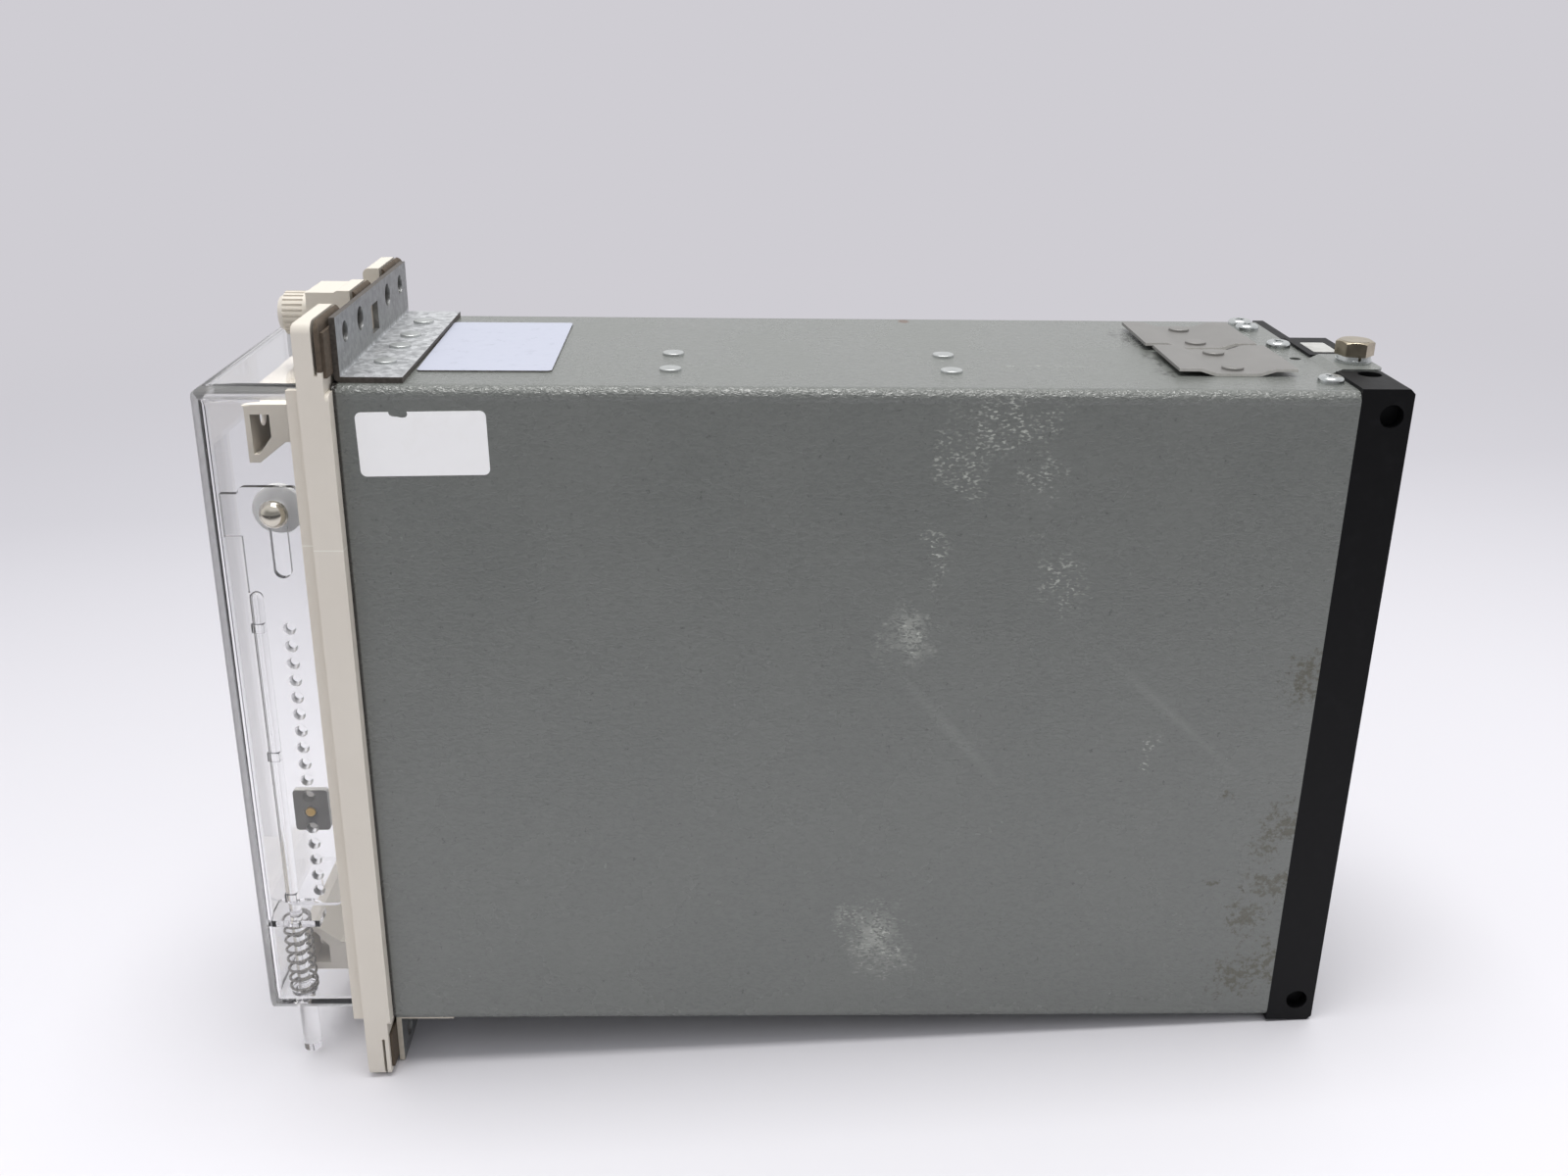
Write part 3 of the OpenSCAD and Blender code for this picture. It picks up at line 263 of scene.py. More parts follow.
def mottled(name, patch, detail, first, second, polish=None, **sockets):
    """A material whose colour, and polish if given, drifts between two values in patches of some millimetres."""
    material, tree, shader, place = begin(name, **sockets)
    drift = add(tree, "TexNoise", {
        "Vector": place, "Scale": 1 / (patch * MM), "Detail": detail}).outputs["Fac"]
    tone = add(tree, "Mix", {0: drift, 6: linear(first), 7: linear(second)}, data_type="RGBA")
    tree.links.new(tone.outputs[2], shader.inputs["Base Color"])
    if polish:
        matt = add(tree, "MapRange", {"Value": drift, "To Min": polish[0], "To Max": polish[1]})
        tree.links.new(matt.outputs[0], shader.inputs["Roughness"])
    return material


def refinish(piece, material, rule):
    """Gives those faces of a piece that follow a rule a second material."""
    piece.data.materials.append(material)
    for face in piece.data.polygons:
        if rule(face):
            face.material_index = 1


# Gloss-coated paper is a clean white with a soft sheen and a little grime
# Its fibre is drawn coarser than it is, so that it shows
paper, tree, shader, place = begin("coated_paper", Roughness=0.38)
fibre = add(tree, "TexNoise", {"Vector": place, "Scale": 1 / (0.6 * MM), "Detail": 3.0})
dirt = add(tree, "TexNoise", {"Vector": place, "Scale": 1 / (9 * MM), "Detail": 6.0, "Roughness": 0.65})
grime = add(tree, "MapRange", {
    "Value": dirt.outputs["Fac"], "From Min": 0.56, "From Max": 0.85, "To Max": 0.2})
shade = add(tree, "Mix", {
    0: grime.outputs[0], 6: linear("#FAFAFA"), 7: linear("#D9D5CA")}, data_type="RGBA")
tree.links.new(shade.outputs[2], shader.inputs["Base Color"])
relief = add(tree, "Bump", {"Height": fibre.outputs["Fac"], "Strength": 0.08, "Distance": 0.05 * MM})
tree.links.new(relief.outputs[0], shader.inputs["Normal"])

side_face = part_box("case_shell")[1].x
side_place = Matrix((
    (0, 0, 1, side_face), (0.9998, -0.02, 0, 15.8 * MM), (0.02, 0.9998, 0, 63.6 * MM), (0, 0, 0, 1)))
side_label = label(
    "side_label", width=25.8 * MM, height=13.2 * MM, thick=0.12 * MM, corner=1.2 * MM, matrix=side_place)
# A scrap of its upper edge is torn away
bpy.ops.object.select_all(action="DESELECT")
bpy.ops.mesh.primitive_ico_sphere_add(
    subdivisions=3, radius=1.4 * MM, location=(side_face, 11.2 * MM, 70.1 * MM))
tear = bpy.context.object
tear.scale = (1, 1.3, 0.9)
for vertex in tear.data.vertices:
    vertex.co *= 1 + 0.22 * math.sin(2100 * vertex.co.y + 900 * vertex.co.z)
cut = side_label.modifiers.new("torn", "BOOLEAN")
cut.object = tear
only(side_label)
bpy.ops.object.modifier_apply(modifier="torn")
bpy.data.objects.remove(tear)
side_label.data.materials.append(paper)
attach(side_label, "case")

# Coated foil has a cool, smooth sheen that is worn duller in blots
foil, tree, shader, place = begin("coated_foil")
wear = add(tree, "TexNoise", {"Vector": place, "Scale": 1 / (3 * MM), "Detail": 8.0, "Roughness": 0.7})
worn = add(tree, "MapRange", {
    "Value": wear.outputs["Fac"], "From Min": 0.58, "From Max": 0.68, "To Max": 0.5})
shade = add(tree, "Mix", {0: worn.outputs[0], 6: linear("#B4B8C8"), 7: linear("#989CA8")}, data_type="RGBA")
tree.links.new(shade.outputs[2], shader.inputs["Base Color"])
matt = add(tree, "MapRange", {"Value": wear.outputs["Fac"], "To Min": 0.22, "To Max": 0.42})
tree.links.new(matt.outputs[0], shader.inputs["Roughness"])
block_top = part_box("terminal_block")[1].z
block_rise = 0.7 * MM
top_place = Matrix.Translation((-1 * MM, 26.3 * MM, block_top - block_rise)) @ Matrix.Rotation(0.012, 4, "Z")
top_label = label(
    "top_label", width=48 * MM, height=27.4 * MM, thick=0.3 * MM, corner=1.0 * MM, matrix=top_place)
top_label.data.materials.append(foil)
# Soot has settled on the cut edge of the foil, so a dark line frames it
cut_foil = mottled("cut_foil_edge", 4, 3.0, "#2E2A26", "#6A645C", Roughness=0.6)
refinish(top_label, cut_foil, lambda face: abs(face.normal.z) < 0.5)
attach(top_label, "case")

# Uncoated paper, greyed by grime and darkened further as painted shade: dull and blotched
grimed_and_shaded_paper = mottled("grimed_and_shaded_paper", 2.5, 6.0, "#9A9A97", "#C8C8C5", Roughness=0.6)
block_place = Matrix.Translation((-2.4 * MM, 207.4 * MM, block_top))
block_label = label(
    "block_label", width=9.6 * MM, height=5.4 * MM, thick=0.1 * MM, corner=0.5 * MM, matrix=block_place)
block_label.data.materials.append(grimed_and_shaded_paper)
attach(block_label, "case")


# Panel brackets: two angles pressed from 1.2 mm zinc-plated steel, with punched holes, riveted to the case.
# The dull plating shows a faint spangle, and its cut edges are broken.
# Rubber strips sit between the brackets and the frame.
weld = 0.002 * MM


def softened(node, radius, body, material, steps=3, cuts=()):
    """A copy of a CAD node, its flat facets joined, cut along planes and rounded, to stand for the node."""
    piece = bpy.data.objects.new(node + "_soft", nodes[node].data.copy())
    bpy.context.scene.collection.objects.link(piece)
    only(piece)
    bpy.ops.object.mode_set(mode="EDIT")
    bpy.ops.mesh.select_all(action="SELECT")
    bpy.ops.mesh.customdata_custom_splitnormals_clear()
    bpy.ops.mesh.remove_doubles(threshold=weld)
    bpy.ops.mesh.dissolve_limited(angle_limit=math.radians(0.5))
    for spot, facing in cuts:
        bpy.ops.mesh.select_all(action="SELECT")
        bpy.ops.mesh.bisect(plane_co=spot, plane_no=facing)
    bpy.ops.object.mode_set(mode="OBJECT")
    edge = piece.modifiers.new("edge", "BEVEL")
    edge.width = radius
    edge.segments = steps
    edge.limit_method = "ANGLE"
    edge.angle_limit = math.radians(35)
    bpy.ops.object.modifier_apply(modifier="edge")
    bpy.ops.object.shade_smooth_by_angle(angle=math.radians(32))
    flats = piece.modifiers.new("flats", "WEIGHTED_NORMAL")
    flats.weight = 100
    flats.keep_sharp = True
    bpy.ops.object.modifier_apply(modifier="flats")
    piece.data.materials.clear()
    piece.data.materials.append(material)
    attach(piece, body)
    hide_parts(node)
    return piece


zinc, tree, shader, place = begin("zinc_plated_steel", Metallic=0.75)
spangle = add(tree, "TexVoronoi", {"Vector": place, "Scale": 1 / (1.2 * MM)})
cloud = add(tree, "TexNoise", {"Vector": place, "Scale": 1 / (2.2 * MM), "Detail": 7.0, "Roughness": 0.7})
mixed = add(tree, "Mix", {0: 0.3, 2: cloud.outputs["Fac"], 3: spangle.outputs["Color"]})
shade = add(tree, "MapRange", {"Value": mixed.outputs[0], "From Min": 0.36, "From Max": 0.64})
colour = add(tree, "Mix", {
    0: shade.outputs[0], 6: linear("#A6A8AA"), 7: linear("#DEE0E2")}, data_type="RGBA")
# Painted shade: the upright leg, facing away from the lamp, is drawn darker
outward = add(tree, "VectorMath", {0: place}, operation="ABSOLUTE")
outward = add(tree, "SeparateXYZ", {"Vector": outward.outputs[0]})
upright_leg_shade = add(tree, "MapRange", {
    "Value": outward.outputs["Z"], "From Min": 76.6 * MM, "From Max": 77.4 * MM, "To Max": 0.7})
colour = add(tree, "Mix", {
    0: upright_leg_shade.outputs[0], 6: colour.outputs[2], 7: linear("#727371")}, data_type="RGBA")
tree.links.new(colour.outputs[2], shader.inputs["Base Color"])
matt = add(tree, "MapRange", {"Value": cloud.outputs["Fac"], "To Min": 0.30, "To Max": 0.58})
tree.links.new(matt.outputs[0], shader.inputs["Roughness"])
fine = add(tree, "TexNoise", {"Vector": place, "Scale": 1 / (0.5 * MM), "Detail": 2.0})
relief = add(tree, "Bump", {"Height": fine.outputs["Fac"], "Strength": 0.12, "Distance": 0.06 * MM})
tree.links.new(relief.outputs[0], shader.inputs["Normal"])
# Where the plating is broken, sheared steel shows dark and brown
sheared = mottled("sheared_sheet_edge", 0.8, 4.0, "#37322D", "#6D6761", Metallic=0.4, Roughness=0.55)
# The lower bracket's edges are scuffed pale where the relay has been set down
scuffed = mottled("scuffed_sheet_edge", 1.5, 4.0, "#B9B1A2", "#E0D9CB", Metallic=0.2, Roughness=0.5)
sheet_edge = 0.14 * MM
skin_deep = 0.1 * MM
for name, cut_edge in (("top_bracket", sheared), ("bottom_bracket", scuffed)):
    bracket = softened(name, sheet_edge, "case", zinc, 2)
    low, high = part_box(name)
    rim_z = max(abs(low.z), abs(high.z))
    refinish(bracket, cut_edge, lambda face: (
        abs(face.normal.x) > 0.9 and abs(face.center.x) > high.x - skin_deep
        or face.normal.y > 0.9 and face.center.y > high.y - skin_deep
        or abs(face.normal.z) > 0.9 and abs(face.center.z) > rim_z - skin_deep))

# Perished rubber is brown, dull and crumbly
rubber, tree, shader, place = begin("aged_rubber", Roughness=0.85)
crumb = add(tree, "TexNoise", {"Vector": place, "Scale": 1 / (1.2 * MM), "Detail": 6.0, "Roughness": 0.7})
colour = add(tree, "Mix", {
    0: crumb.outputs["Fac"], 6: linear("#2B241C"), 7: linear("#6E6051")}, data_type="RGBA")
# It is drawn paler behind the square hole of each bracket
paler_at_hole = add(tree, "MapRange", {
    "Value": marks(tree, place, [((0, -1.5, 81.65), (7, 7, 7), 0), ((0, -1.5, -81.65), (7, 7, 7), 0)]),
    "From Min": 0.3, "From Max": 0.5, "To Max": 0.85})
colour = add(tree, "Mix", {
    0: paler_at_hole.outputs[0], 6: colour.outputs[2], 7: linear("#C2B7A6")}, data_type="RGBA")
tree.links.new(colour.outputs[2], shader.inputs["Base Color"])
relief = add(tree, "Bump", {"Height": crumb.outputs["Fac"], "Strength": 0.5, "Distance": 0.3 * MM})
tree.links.new(relief.outputs[0], shader.inputs["Normal"])
finish_nodes(rubber, "frame_gaskets")


# Coupling plates: two joggled strips of plain rolled steel, riveted on, that tie neighbouring cases together.
# The rolled skin is an even satin grey, and the sheared edges have been rubbed bright.
# The rivets here are of the same steel, and those of the brackets and guides are plated.
rolled, tree, shader, place = begin("rolled_steel", Metallic=0.55)
skin = add(tree, "TexNoise", {"Vector": place, "Scale": 1 / (9 * MM), "Detail": 6.0, "Roughness": 0.55})
colour = add(tree, "Mix", {
    0: skin.outputs["Fac"], 6: linear("#83827F"), 7: linear("#989694")}, data_type="RGBA")
tree.links.new(colour.outputs[2], shader.inputs["Base Color"])
matt = add(tree, "MapRange", {"Value": skin.outputs["Fac"], "To Min": 0.40, "To Max": 0.52})
tree.links.new(matt.outputs[0], shader.inputs["Roughness"])
# A rubbed edge shows as a bright, broken line
rubbed_edge = mottled("rubbed_sheet_edge", 1.5, 4.0, "#C9C6C1", "#F2F0EC", Metallic=0.3, Roughness=0.4)
for name in ("coupling_plate_right", "coupling_plate_left"):
    plate = softened(name, sheet_edge, "case", rolled, 2)
    refinish(plate, rubbed_edge, lambda face: abs(face.normal.x) > 0.6)


def choose(piece, kind, rule):
    """Opens a piece for editing with only those edges or faces chosen that follow a rule."""
    only(piece)
    bpy.ops.object.mode_set(mode="EDIT")
    bpy.context.tool_settings.mesh_select_mode = (False, kind == "EDGE", kind == "FACE")
    bpy.ops.mesh.select_all(action="DESELECT")
    bpy.ops.object.mode_set(mode="OBJECT")
    for part in (piece.data.edges if kind == "EDGE" else piece.data.polygons):
        part.select = rule(part)
    bpy.ops.object.mode_set(mode="EDIT")


def headed_pin(name, radius, height, rounding, shank, length, arms):
    """A round head on z = 0 with its shank below, plain or with a slot or a cross sunk in its crown."""
    bpy.ops.object.select_all(action="DESELECT")
    bpy.ops.mesh.primitive_cylinder_add(vertices=40, radius=radius, depth=height, location=(0, 0, height / 2))
    piece = bpy.context.object
    piece.name = name
    settle(piece)
    choose(piece, "EDGE", lambda edge: all(piece.data.vertices[i].co.z > 0.9 * height for i in edge.vertices))
    bpy.ops.mesh.bevel(offset=rounding, segments=6, affect="EDGES")
    bpy.ops.object.mode_set(mode="OBJECT")
    choose(piece, "FACE", lambda face: face.normal.z < -0.9)
    bpy.ops.mesh.inset(thickness=radius - shank)
    bpy.ops.mesh.extrude_region_move(TRANSFORM_OT_translate={"value": (0, 0, -length)})
    bpy.ops.object.mode_set(mode="OBJECT")
    for arm in range(arms):
        bpy.ops.object.select_all(action="DESELECT")
        bpy.ops.mesh.primitive_cube_add(size=1)
        cutter = bpy.context.object
        reach = 1.15 if arms > 1 else 2.4
        cutter.scale = (reach * radius, 0.26 * radius, 1.1 * height)
        cutter.location = (0, 0, height)
        cutter.rotation_euler = (0, 0, arm * math.pi / 2)
        for vertex in cutter.data.vertices:
            if vertex.co.z < 0 and arms > 1:
                vertex.co.x *= 0.55
        groove = piece.modifiers.new("recess", "BOOLEAN")
        groove.object = cutter
        only(piece)
        bpy.ops.object.modifier_apply(modifier="recess")
        bpy.data.objects.remove(cutter)
    only(piece)
    bpy.ops.object.shade_smooth_by_angle(angle=math.radians(30))
    return piece


def solids(node):
    """The lowest and highest corners of each separate solid of a CAD node, in a fixed order."""
    spare = bpy.data.objects.new(node + "_spare", nodes[node].data.copy())
    bpy.context.scene.collection.objects.link(spare)
    only(spare)
    bpy.ops.object.mode_set(mode="EDIT")
    bpy.ops.mesh.select_all(action="SELECT")
    bpy.ops.mesh.remove_doubles(threshold=weld)
    bpy.ops.mesh.separate(type="LOOSE")
    bpy.ops.object.mode_set(mode="OBJECT")
    found = []
    for part in list(bpy.context.selected_objects):
        corners = [[v.co[axis] for v in part.data.vertices] for axis in range(3)]
        found.append((Vector([min(c) for c in corners]), Vector([max(c) for c in corners])))
        bpy.data.objects.remove(part)
    return sorted(found, key=lambda pair: tuple(round(c, 5) for c in pair[0]))


def set_of(model, name, matrices, body, node, material):
    """Copies of one modelled piece at these places, joined as the piece that stands for a CAD node."""
    copies = []
    for matrix in matrices:
        copy = bpy.data.objects.new(name, model.data.copy())
        bpy.context.scene.collection.objects.link(copy)
        copy.matrix_world = matrix
        settle(copy)
        copies.append(copy)
    bpy.data.objects.remove(model)
    only(*copies)
    bpy.ops.object.join()
    joined = bpy.context.object
    joined.name = name
    joined.data.materials.clear()
    joined.data.materials.append(material)
    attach(joined, body)
    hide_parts(node)


def standing(node, head, turn):
    """Where a head's foot goes for each pin of a node on the top or the bottom of the case."""
    found = []
    for count, (low, high) in enumerate(solids(node)):
        middle = (low + high) / 2
        spin = Matrix.Rotation(turn * (1 + count), 4, "Z")
        if middle.z > 0:
            found.append(Matrix.Translation((middle.x, middle.y, high.z - head)) @ spin)
        else:
            upside_down = Matrix.Rotation(math.pi, 4, "X")
            found.append(Matrix.Translation((middle.x, middle.y, low.z + head)) @ upside_down @ spin)
    return found


rivet_head = 0.55 * MM
# Plated rivets have a bright crown with a soft cloud on it
rivet_steel = mottled("plated_rivet_steel", 1.4, 5.0, "#B3B6B5", "#D3D6D5", (0.34, 0.5), Metallic=0.9)
rivet_sets = {"bracket_rivets": rivet_steel, "guide_rivets": rivet_steel, "coupling_rivets": rolled}
for name, metal in rivet_sets.items():
    rivets = standing(name, rivet_head, turn=0.0)
    rivet = headed_pin(
        "rivet", radius=2.3 * MM, height=rivet_head, rounding=0.22 * MM,
        shank=1.2 * MM, length=2.6 * MM, arms=0)
    set_of(rivet, name + "_set", rivets, "case", name, metal)


# Front frame: one cream ABS moulding with three tabs at each end, rails beside the cover and two lug pockets.
# The moulded skin is a soft satin with a fine spark grain, a little yellowed, and a faint seam crosses it.
cream, tree, shader, place = begin("cream_abs")
age = add(tree, "TexNoise", {"Vector": place, "Scale": 1 / (22 * MM), "Detail": 4.0})
colour = add(tree, "Mix", {
    0: age.outputs["Fac"], 6: linear("#D8D1C5"), 7: linear("#E0DACF")}, data_type="RGBA")
apart = add(tree, "SeparateXYZ", {"Vector": place})
seam = add(tree, "Math", {0: apart.outputs["Z"], 1: 42 * MM, 2: 0.14 * MM}, operation="COMPARE")
colour = add(tree, "Mix", {
    0: seam.outputs[0], 6: colour.outputs[2], 7: linear("#E9E6DC")}, data_type="RGBA")
smudge = add(tree, "TexNoise", {"Vector": place, "Scale": 1 / (5 * MM), "Detail": 7.0, "Roughness": 0.7})
soil = add(tree, "MapRange", {
    "Value": smudge.outputs["Fac"], "From Min": 0.62, "From Max": 0.8, "To Max": 0.22})
colour = add(tree, "Mix", {
    0: soil.outputs[0], 6: colour.outputs[2], 7: linear("#B5AC9A")}, data_type="RGBA")
tree.links.new(colour.outputs[2], shader.inputs["Base Color"])
# The spark grain is drawn coarser than it is, so that it shows
spark = add(tree, "TexNoise", {"Vector": place, "Scale": 1 / (0.45 * MM), "Detail": 2.0})
relief = add(tree, "Bump", {"Height": spark.outputs["Fac"], "Strength": 0.10, "Distance": 0.05 * MM})
tree.links.new(relief.outputs[0], shader.inputs["Normal"])
matt = add(tree, "MapRange", {"Value": smudge.outputs["Fac"], "To Min": 0.36, "To Max": 0.5})
tree.links.new(matt.outputs[0], shader.inputs["Roughness"])
leaf_front = -2.95 * MM
leaf_foot = 78.6 * MM
moulding = softened(
    "front_frame", 0.5 * MM, "case", cream, cuts=(((0, 0, leaf_foot), (0, 0, 1)),))
# The thin leaf behind the slit of the upper tabs is drawn in the brown rubber, as dirt and painted shade
refinish(moulding, rubber, lambda face: face.center.y > leaf_front and face.center.z > leaf_foot)
# The knurled nuts are moulded in the same ABS
finish_nodes(cream, "top_nut", "bottom_nut")


# Board guides: two channels moulded in ivory nylon, riveted inside the case, that the drawn-out unit runs in.
# The nylon is waxy and slightly see-through at its thin lips.
ivory = mottled(
    "ivory_nylon", 10, 5.0, "#D8D2BF", "#E8E4D6", (0.4, 0.55),
    Subsurface_Weight=0.15, Subsurface_Scale=2 * MM)
finish_nodes(ivory, "top_guide", "bottom_guide")


# Terminal block and blanking strip: black phenolic mouldings screwed into the rear of the case.
# The moulded skin is a dull sheen, with a little pale dust and handling marks on its faces.
phenolic, tree, shader, place = begin("black_phenolic", Specular_IOR_Level=0.18)
dust = add(tree, "TexNoise", {"Vector": place, "Scale": 1 / (4 * MM), "Detail": 8.0, "Roughness": 0.7})
film = add(tree, "MapRange", {
    "Value": dust.outputs["Fac"], "From Min": 0.52, "From Max": 0.85, "To Max": 0.35})
colour = add(tree, "Mix", {
    0: film.outputs[0], 6: linear("#0C0C0E"), 7: linear("#232326")}, data_type="RGBA")
tree.links.new(colour.outputs[2], shader.inputs["Base Color"])
matt = add(tree, "MapRange", {"Value": dust.outputs["Fac"], "To Min": 0.40, "To Max": 0.6})
tree.links.new(matt.outputs[0], shader.inputs["Roughness"])
spark = add(tree, "TexNoise", {"Vector": place, "Scale": 1 / (0.7 * MM), "Detail": 3.0})
relief = add(tree, "Bump", {"Height": spark.outputs["Fac"], "Strength": 0.12, "Distance": 0.06 * MM})
tree.links.new(relief.outputs[0], shader.inputs["Normal"])
softened("terminal_block", 0.3 * MM, "case", phenolic, 2)
softened("blanking_strip", 0.3 * MM, "case", phenolic, 2)
finish_nodes(phenolic, "rear_connector")

# Stamped brass is a plain yellow, tarnished in patches
brass = mottled("stamped_brass", 2.5, 6.0, "#8F7440", "#C6A460", (0.25, 0.5), Metallic=1.0)
finish_nodes(brass, "terminal_tags", "board_spacers", "plug_blades", "reset_pin")


# Screws: cold-headed pan heads in bright zinc, with a cross on top and below and a slot at the terminals.
# The passivated zinc is bright with a soft cloud.
bright = mottled("bright_zinc_screw", 1.6, 4.0, "#B9BDBD", "#DADDDC", (0.2, 0.34), Metallic=1.0)
finish_nodes(bright, "cover_studs", "handle_screws")

fix_head = 1.4 * MM
places = standing("block_screws", fix_head, turn=0.9)
screw = headed_pin(
    "cross_screw", radius=2.65 * MM, height=fix_head, rounding=0.85 * MM,
    shank=1.4 * MM, length=6 * MM, arms=2)
set_of(screw, "cross_head_screws", places, "case", "block_screws", bright)

terminal_head = 2.3 * MM
places = []
for turn, (low, high) in enumerate(solids("terminal_screws")):
    middle = (low + high) / 2
    facing = Matrix.Rotation(-math.pi / 2, 4, "X") @ Matrix.Rotation(1.3 * turn, 4, "Z")
    places.append(Matrix.Translation((middle.x, high.y - terminal_head, middle.z)) @ facing)
screw = headed_pin(
    "slotted_screw", radius=3.3 * MM, height=terminal_head, rounding=1.4 * MM,
    shank=1.9 * MM, length=6 * MM, arms=1)
set_of(screw, "slotted_screws", places, "case", "terminal_screws", bright)


# Earth bolt: a turned hexagon bolt in warm, aged nickel plate, on a plain and a split washer in bright zinc.
# The chamfer of its head catches the light in small arcs.
nickel = mottled("aged_nickel_plate", 1.8, 6.0, "#9C917C", "#CFC5B2", (0.2, 0.42), Metallic=1.0)
softened("earth_bolt", 0.1 * MM, "case", nickel, 2)
softened("earth_washers", 0.1 * MM, "case", bright, 2)


# Drawn-out unit: an anodised front plate with two grips, two bent aluminium rails and two glass-epoxy boards.
# It carries a transformer, sealed relays and capacitors, and plugs into the block with a row of blades.
# Satin anodising shows level brush lines under a soft white sheen
anodised, tree, shader, place = begin("satin_anodised_aluminium", Metallic=0.6)
brushed = add(tree, "Mapping", {"Vector": place, "Scale": (1, 1, 40)})
line = add(tree, "TexNoise", {"Vector": brushed.outputs[0], "Scale": 1 / (11 * MM), "Detail": 4.0})
colour = add(tree, "Mix", {
    0: line.outputs["Fac"], 6: linear("#C6C7C6"), 7: linear("#DCDDDC")}, data_type="RGBA")
tree.links.new(colour.outputs[2], shader.inputs["Base Color"])
matt = add(tree, "MapRange", {"Value": line.outputs["Fac"], "To Min": 0.38, "To Max": 0.55})
tree.links.new(matt.outputs[0], shader.inputs["Roughness"])
finish_nodes(anodised, "front_plate", "chassis_top", "chassis_bottom")
for name in ("top_handle", "bottom_handle"):
    softened(name, 0.4 * MM, "unit", cream)

# Solder mask is a green gloss over a faint raised grid of tracks
board, tree, shader, place = begin("solder_masked_glass_epoxy", Roughness=0.35)
track = add(tree, "TexBrick", {
    "Vector": add(tree, "Mapping", {"Vector": place, "Rotation": (0, math.pi / 2, 0)}).outputs[0],
    "Color1": linear("#1E5A38"), "Color2": linear("#24663F"), "Mortar": linear("#3B8455"),
    "Scale": 1 / (6.2 * MM), "Mortar Size": 0.03})
tree.links.new(track.outputs["Color"], shader.inputs["Base Color"])
relief = add(tree, "Bump", {"Height": track.outputs["Fac"], "Strength": 0.2, "Distance": 0.05 * MM})
tree.links.new(relief.outputs[0], shader.inputs["Normal"])
finish_nodes(board, "main_board", "side_board")

# Stacked laminations show as dark stripes under varnish, drawn coarser than they are, so that they show
iron, tree, shader, place = begin("varnished_laminations", Metallic=0.5, Roughness=0.45)
sheet = add(tree, "TexWave", {
    "Vector": place, "Scale": 1 / (3.2 * MM), "Distortion": 0.3}, bands_direction="X")
colour = add(tree, "Mix", {
    0: sheet.outputs["Fac"], 6: linear("#3A3835"), 7: linear("#6A6762")}, data_type="RGBA")
tree.links.new(colour.outputs[2], shader.inputs["Base Color"])
softened("transformer_core", 0.3 * MM, "unit", iron, 2)

# Winding tape shows in amber bands with a half gloss
tape, tree, shader, place = begin("varnished_winding_tape", Roughness=0.5)
wrap = add(tree, "TexWave", {
    "Vector": place, "Scale": 1 / (12 * MM), "Distortion": 0.6}, bands_direction="Z")
colour = add(tree, "Mix", {
    0: wrap.outputs["Fac"], 6: linear("#8A5A2B"), 7: linear("#B98446")}, data_type="RGBA")
tree.links.new(colour.outputs[2], shader.inputs["Base Color"])
softened("transformer_coil", 0.8 * MM, "unit", tape)

# Smoked polycarbonate has a smooth blue-grey gloss
shell = mottled("smoked_polycarbonate", 12, 4.0, "#8E99A3", "#A9B2B9", Roughness=0.2)
softened("output_relays", 0.7 * MM, "unit", shell)

# Shrunk sleeving is dark blue with a soft gloss, and the can's end is bare
sleeve = mottled("shrunk_sleeve", 8, 4.0, "#20303A", "#2F434F", Roughness=0.35)
cans = softened("capacitors", 0.7 * MM, "unit", sleeve)
refinish(cans, anodised, lambda face: face.normal.x > 0.98)

# Red acrylic has a deep gloss with a slight ripple in its colour
lens = mottled("red_acrylic", 2, 2.0, "#8E1F1B", "#B3302A", Roughness=0.15)
finish_nodes(lens, "indicator_lens")


# Clear cover: a deep box moulded in polycarbonate with a lug at each end, held by two knurled nuts on studs.
# Its 2.5 mm walls are clear face on and dark when looked along, with a bright line inside the edge.
clear, tree, shader, place = begin(
    "clear_polycarbonate", Base_Color=linear("#FFFFFF"), Transmission_Weight=1.0, IOR=1.52)
haze = add(tree, "TexNoise", {"Vector": place, "Scale": 1 / (14 * MM), "Detail": 6.0, "Roughness": 0.7})
matt = add(tree, "MapRange", {
    "Value": haze.outputs["Fac"], "From Min": 0.45, "From Max": 0.85, "To Min": 0.0, "To Max": 0.03})
tree.links.new(matt.outputs[0], shader.inputs["Roughness"])
depth = add(tree, "VolumeAbsorption", {"Color": linear("#8E8E99"), "Density": 4.0})
tree.links.new(depth.outputs[0], tree.nodes["Material Output"].inputs["Volume"])
# The outer edges left the mould satin, and show as soft grey bands
satin, tree, shader, place = begin(
    "satin_polycarbonate_edge", Base_Color=linear("#FFFFFF"), Transmission_Weight=0.88, IOR=1.45)
haze = add(tree, "TexNoise", {"Vector": place, "Scale": 1 / (6 * MM), "Detail": 4.0})
matt = add(tree, "MapRange", {"Value": haze.outputs["Fac"], "To Min": 0.3, "To Max": 0.4})
tree.links.new(matt.outputs[0], shader.inputs["Roughness"])
depth = add(tree, "VolumeAbsorption", {"Color": linear("#8E8E99"), "Density": 2.5})
tree.links.new(depth.outputs[0], tree.nodes["Material Output"].inputs["Volume"])
cover_wall = 2.5 * MM
low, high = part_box("front_cover")
cover_half = 74.3 * MM
window_front = low.y + cover_wall
cover = softened("front_cover", 0.3 * MM, "cover", clear, 2, (
    ((0, window_front, 0), (0, 1, 0)),
    ((0, 0, cover_half - cover_wall), (0, 0, 1)),
    ((0, 0, cover_wall - cover_half), (0, 0, 1)),
))


def in_satin(face):
    """Whether a face of the cover lies on its outer edges."""
    at_side = abs(face.normal.x) > 0.2 and abs(face.center.x) > high.x - cover_wall
    at_end = abs(face.center.z) > cover_half - cover_wall
    at_front = face.center.y < window_front
    return at_side and (at_front or at_end) or at_end and at_front and abs(face.normal.z) > 0.2


refinish(cover, satin, in_satin)
cover.visible_shadow = False


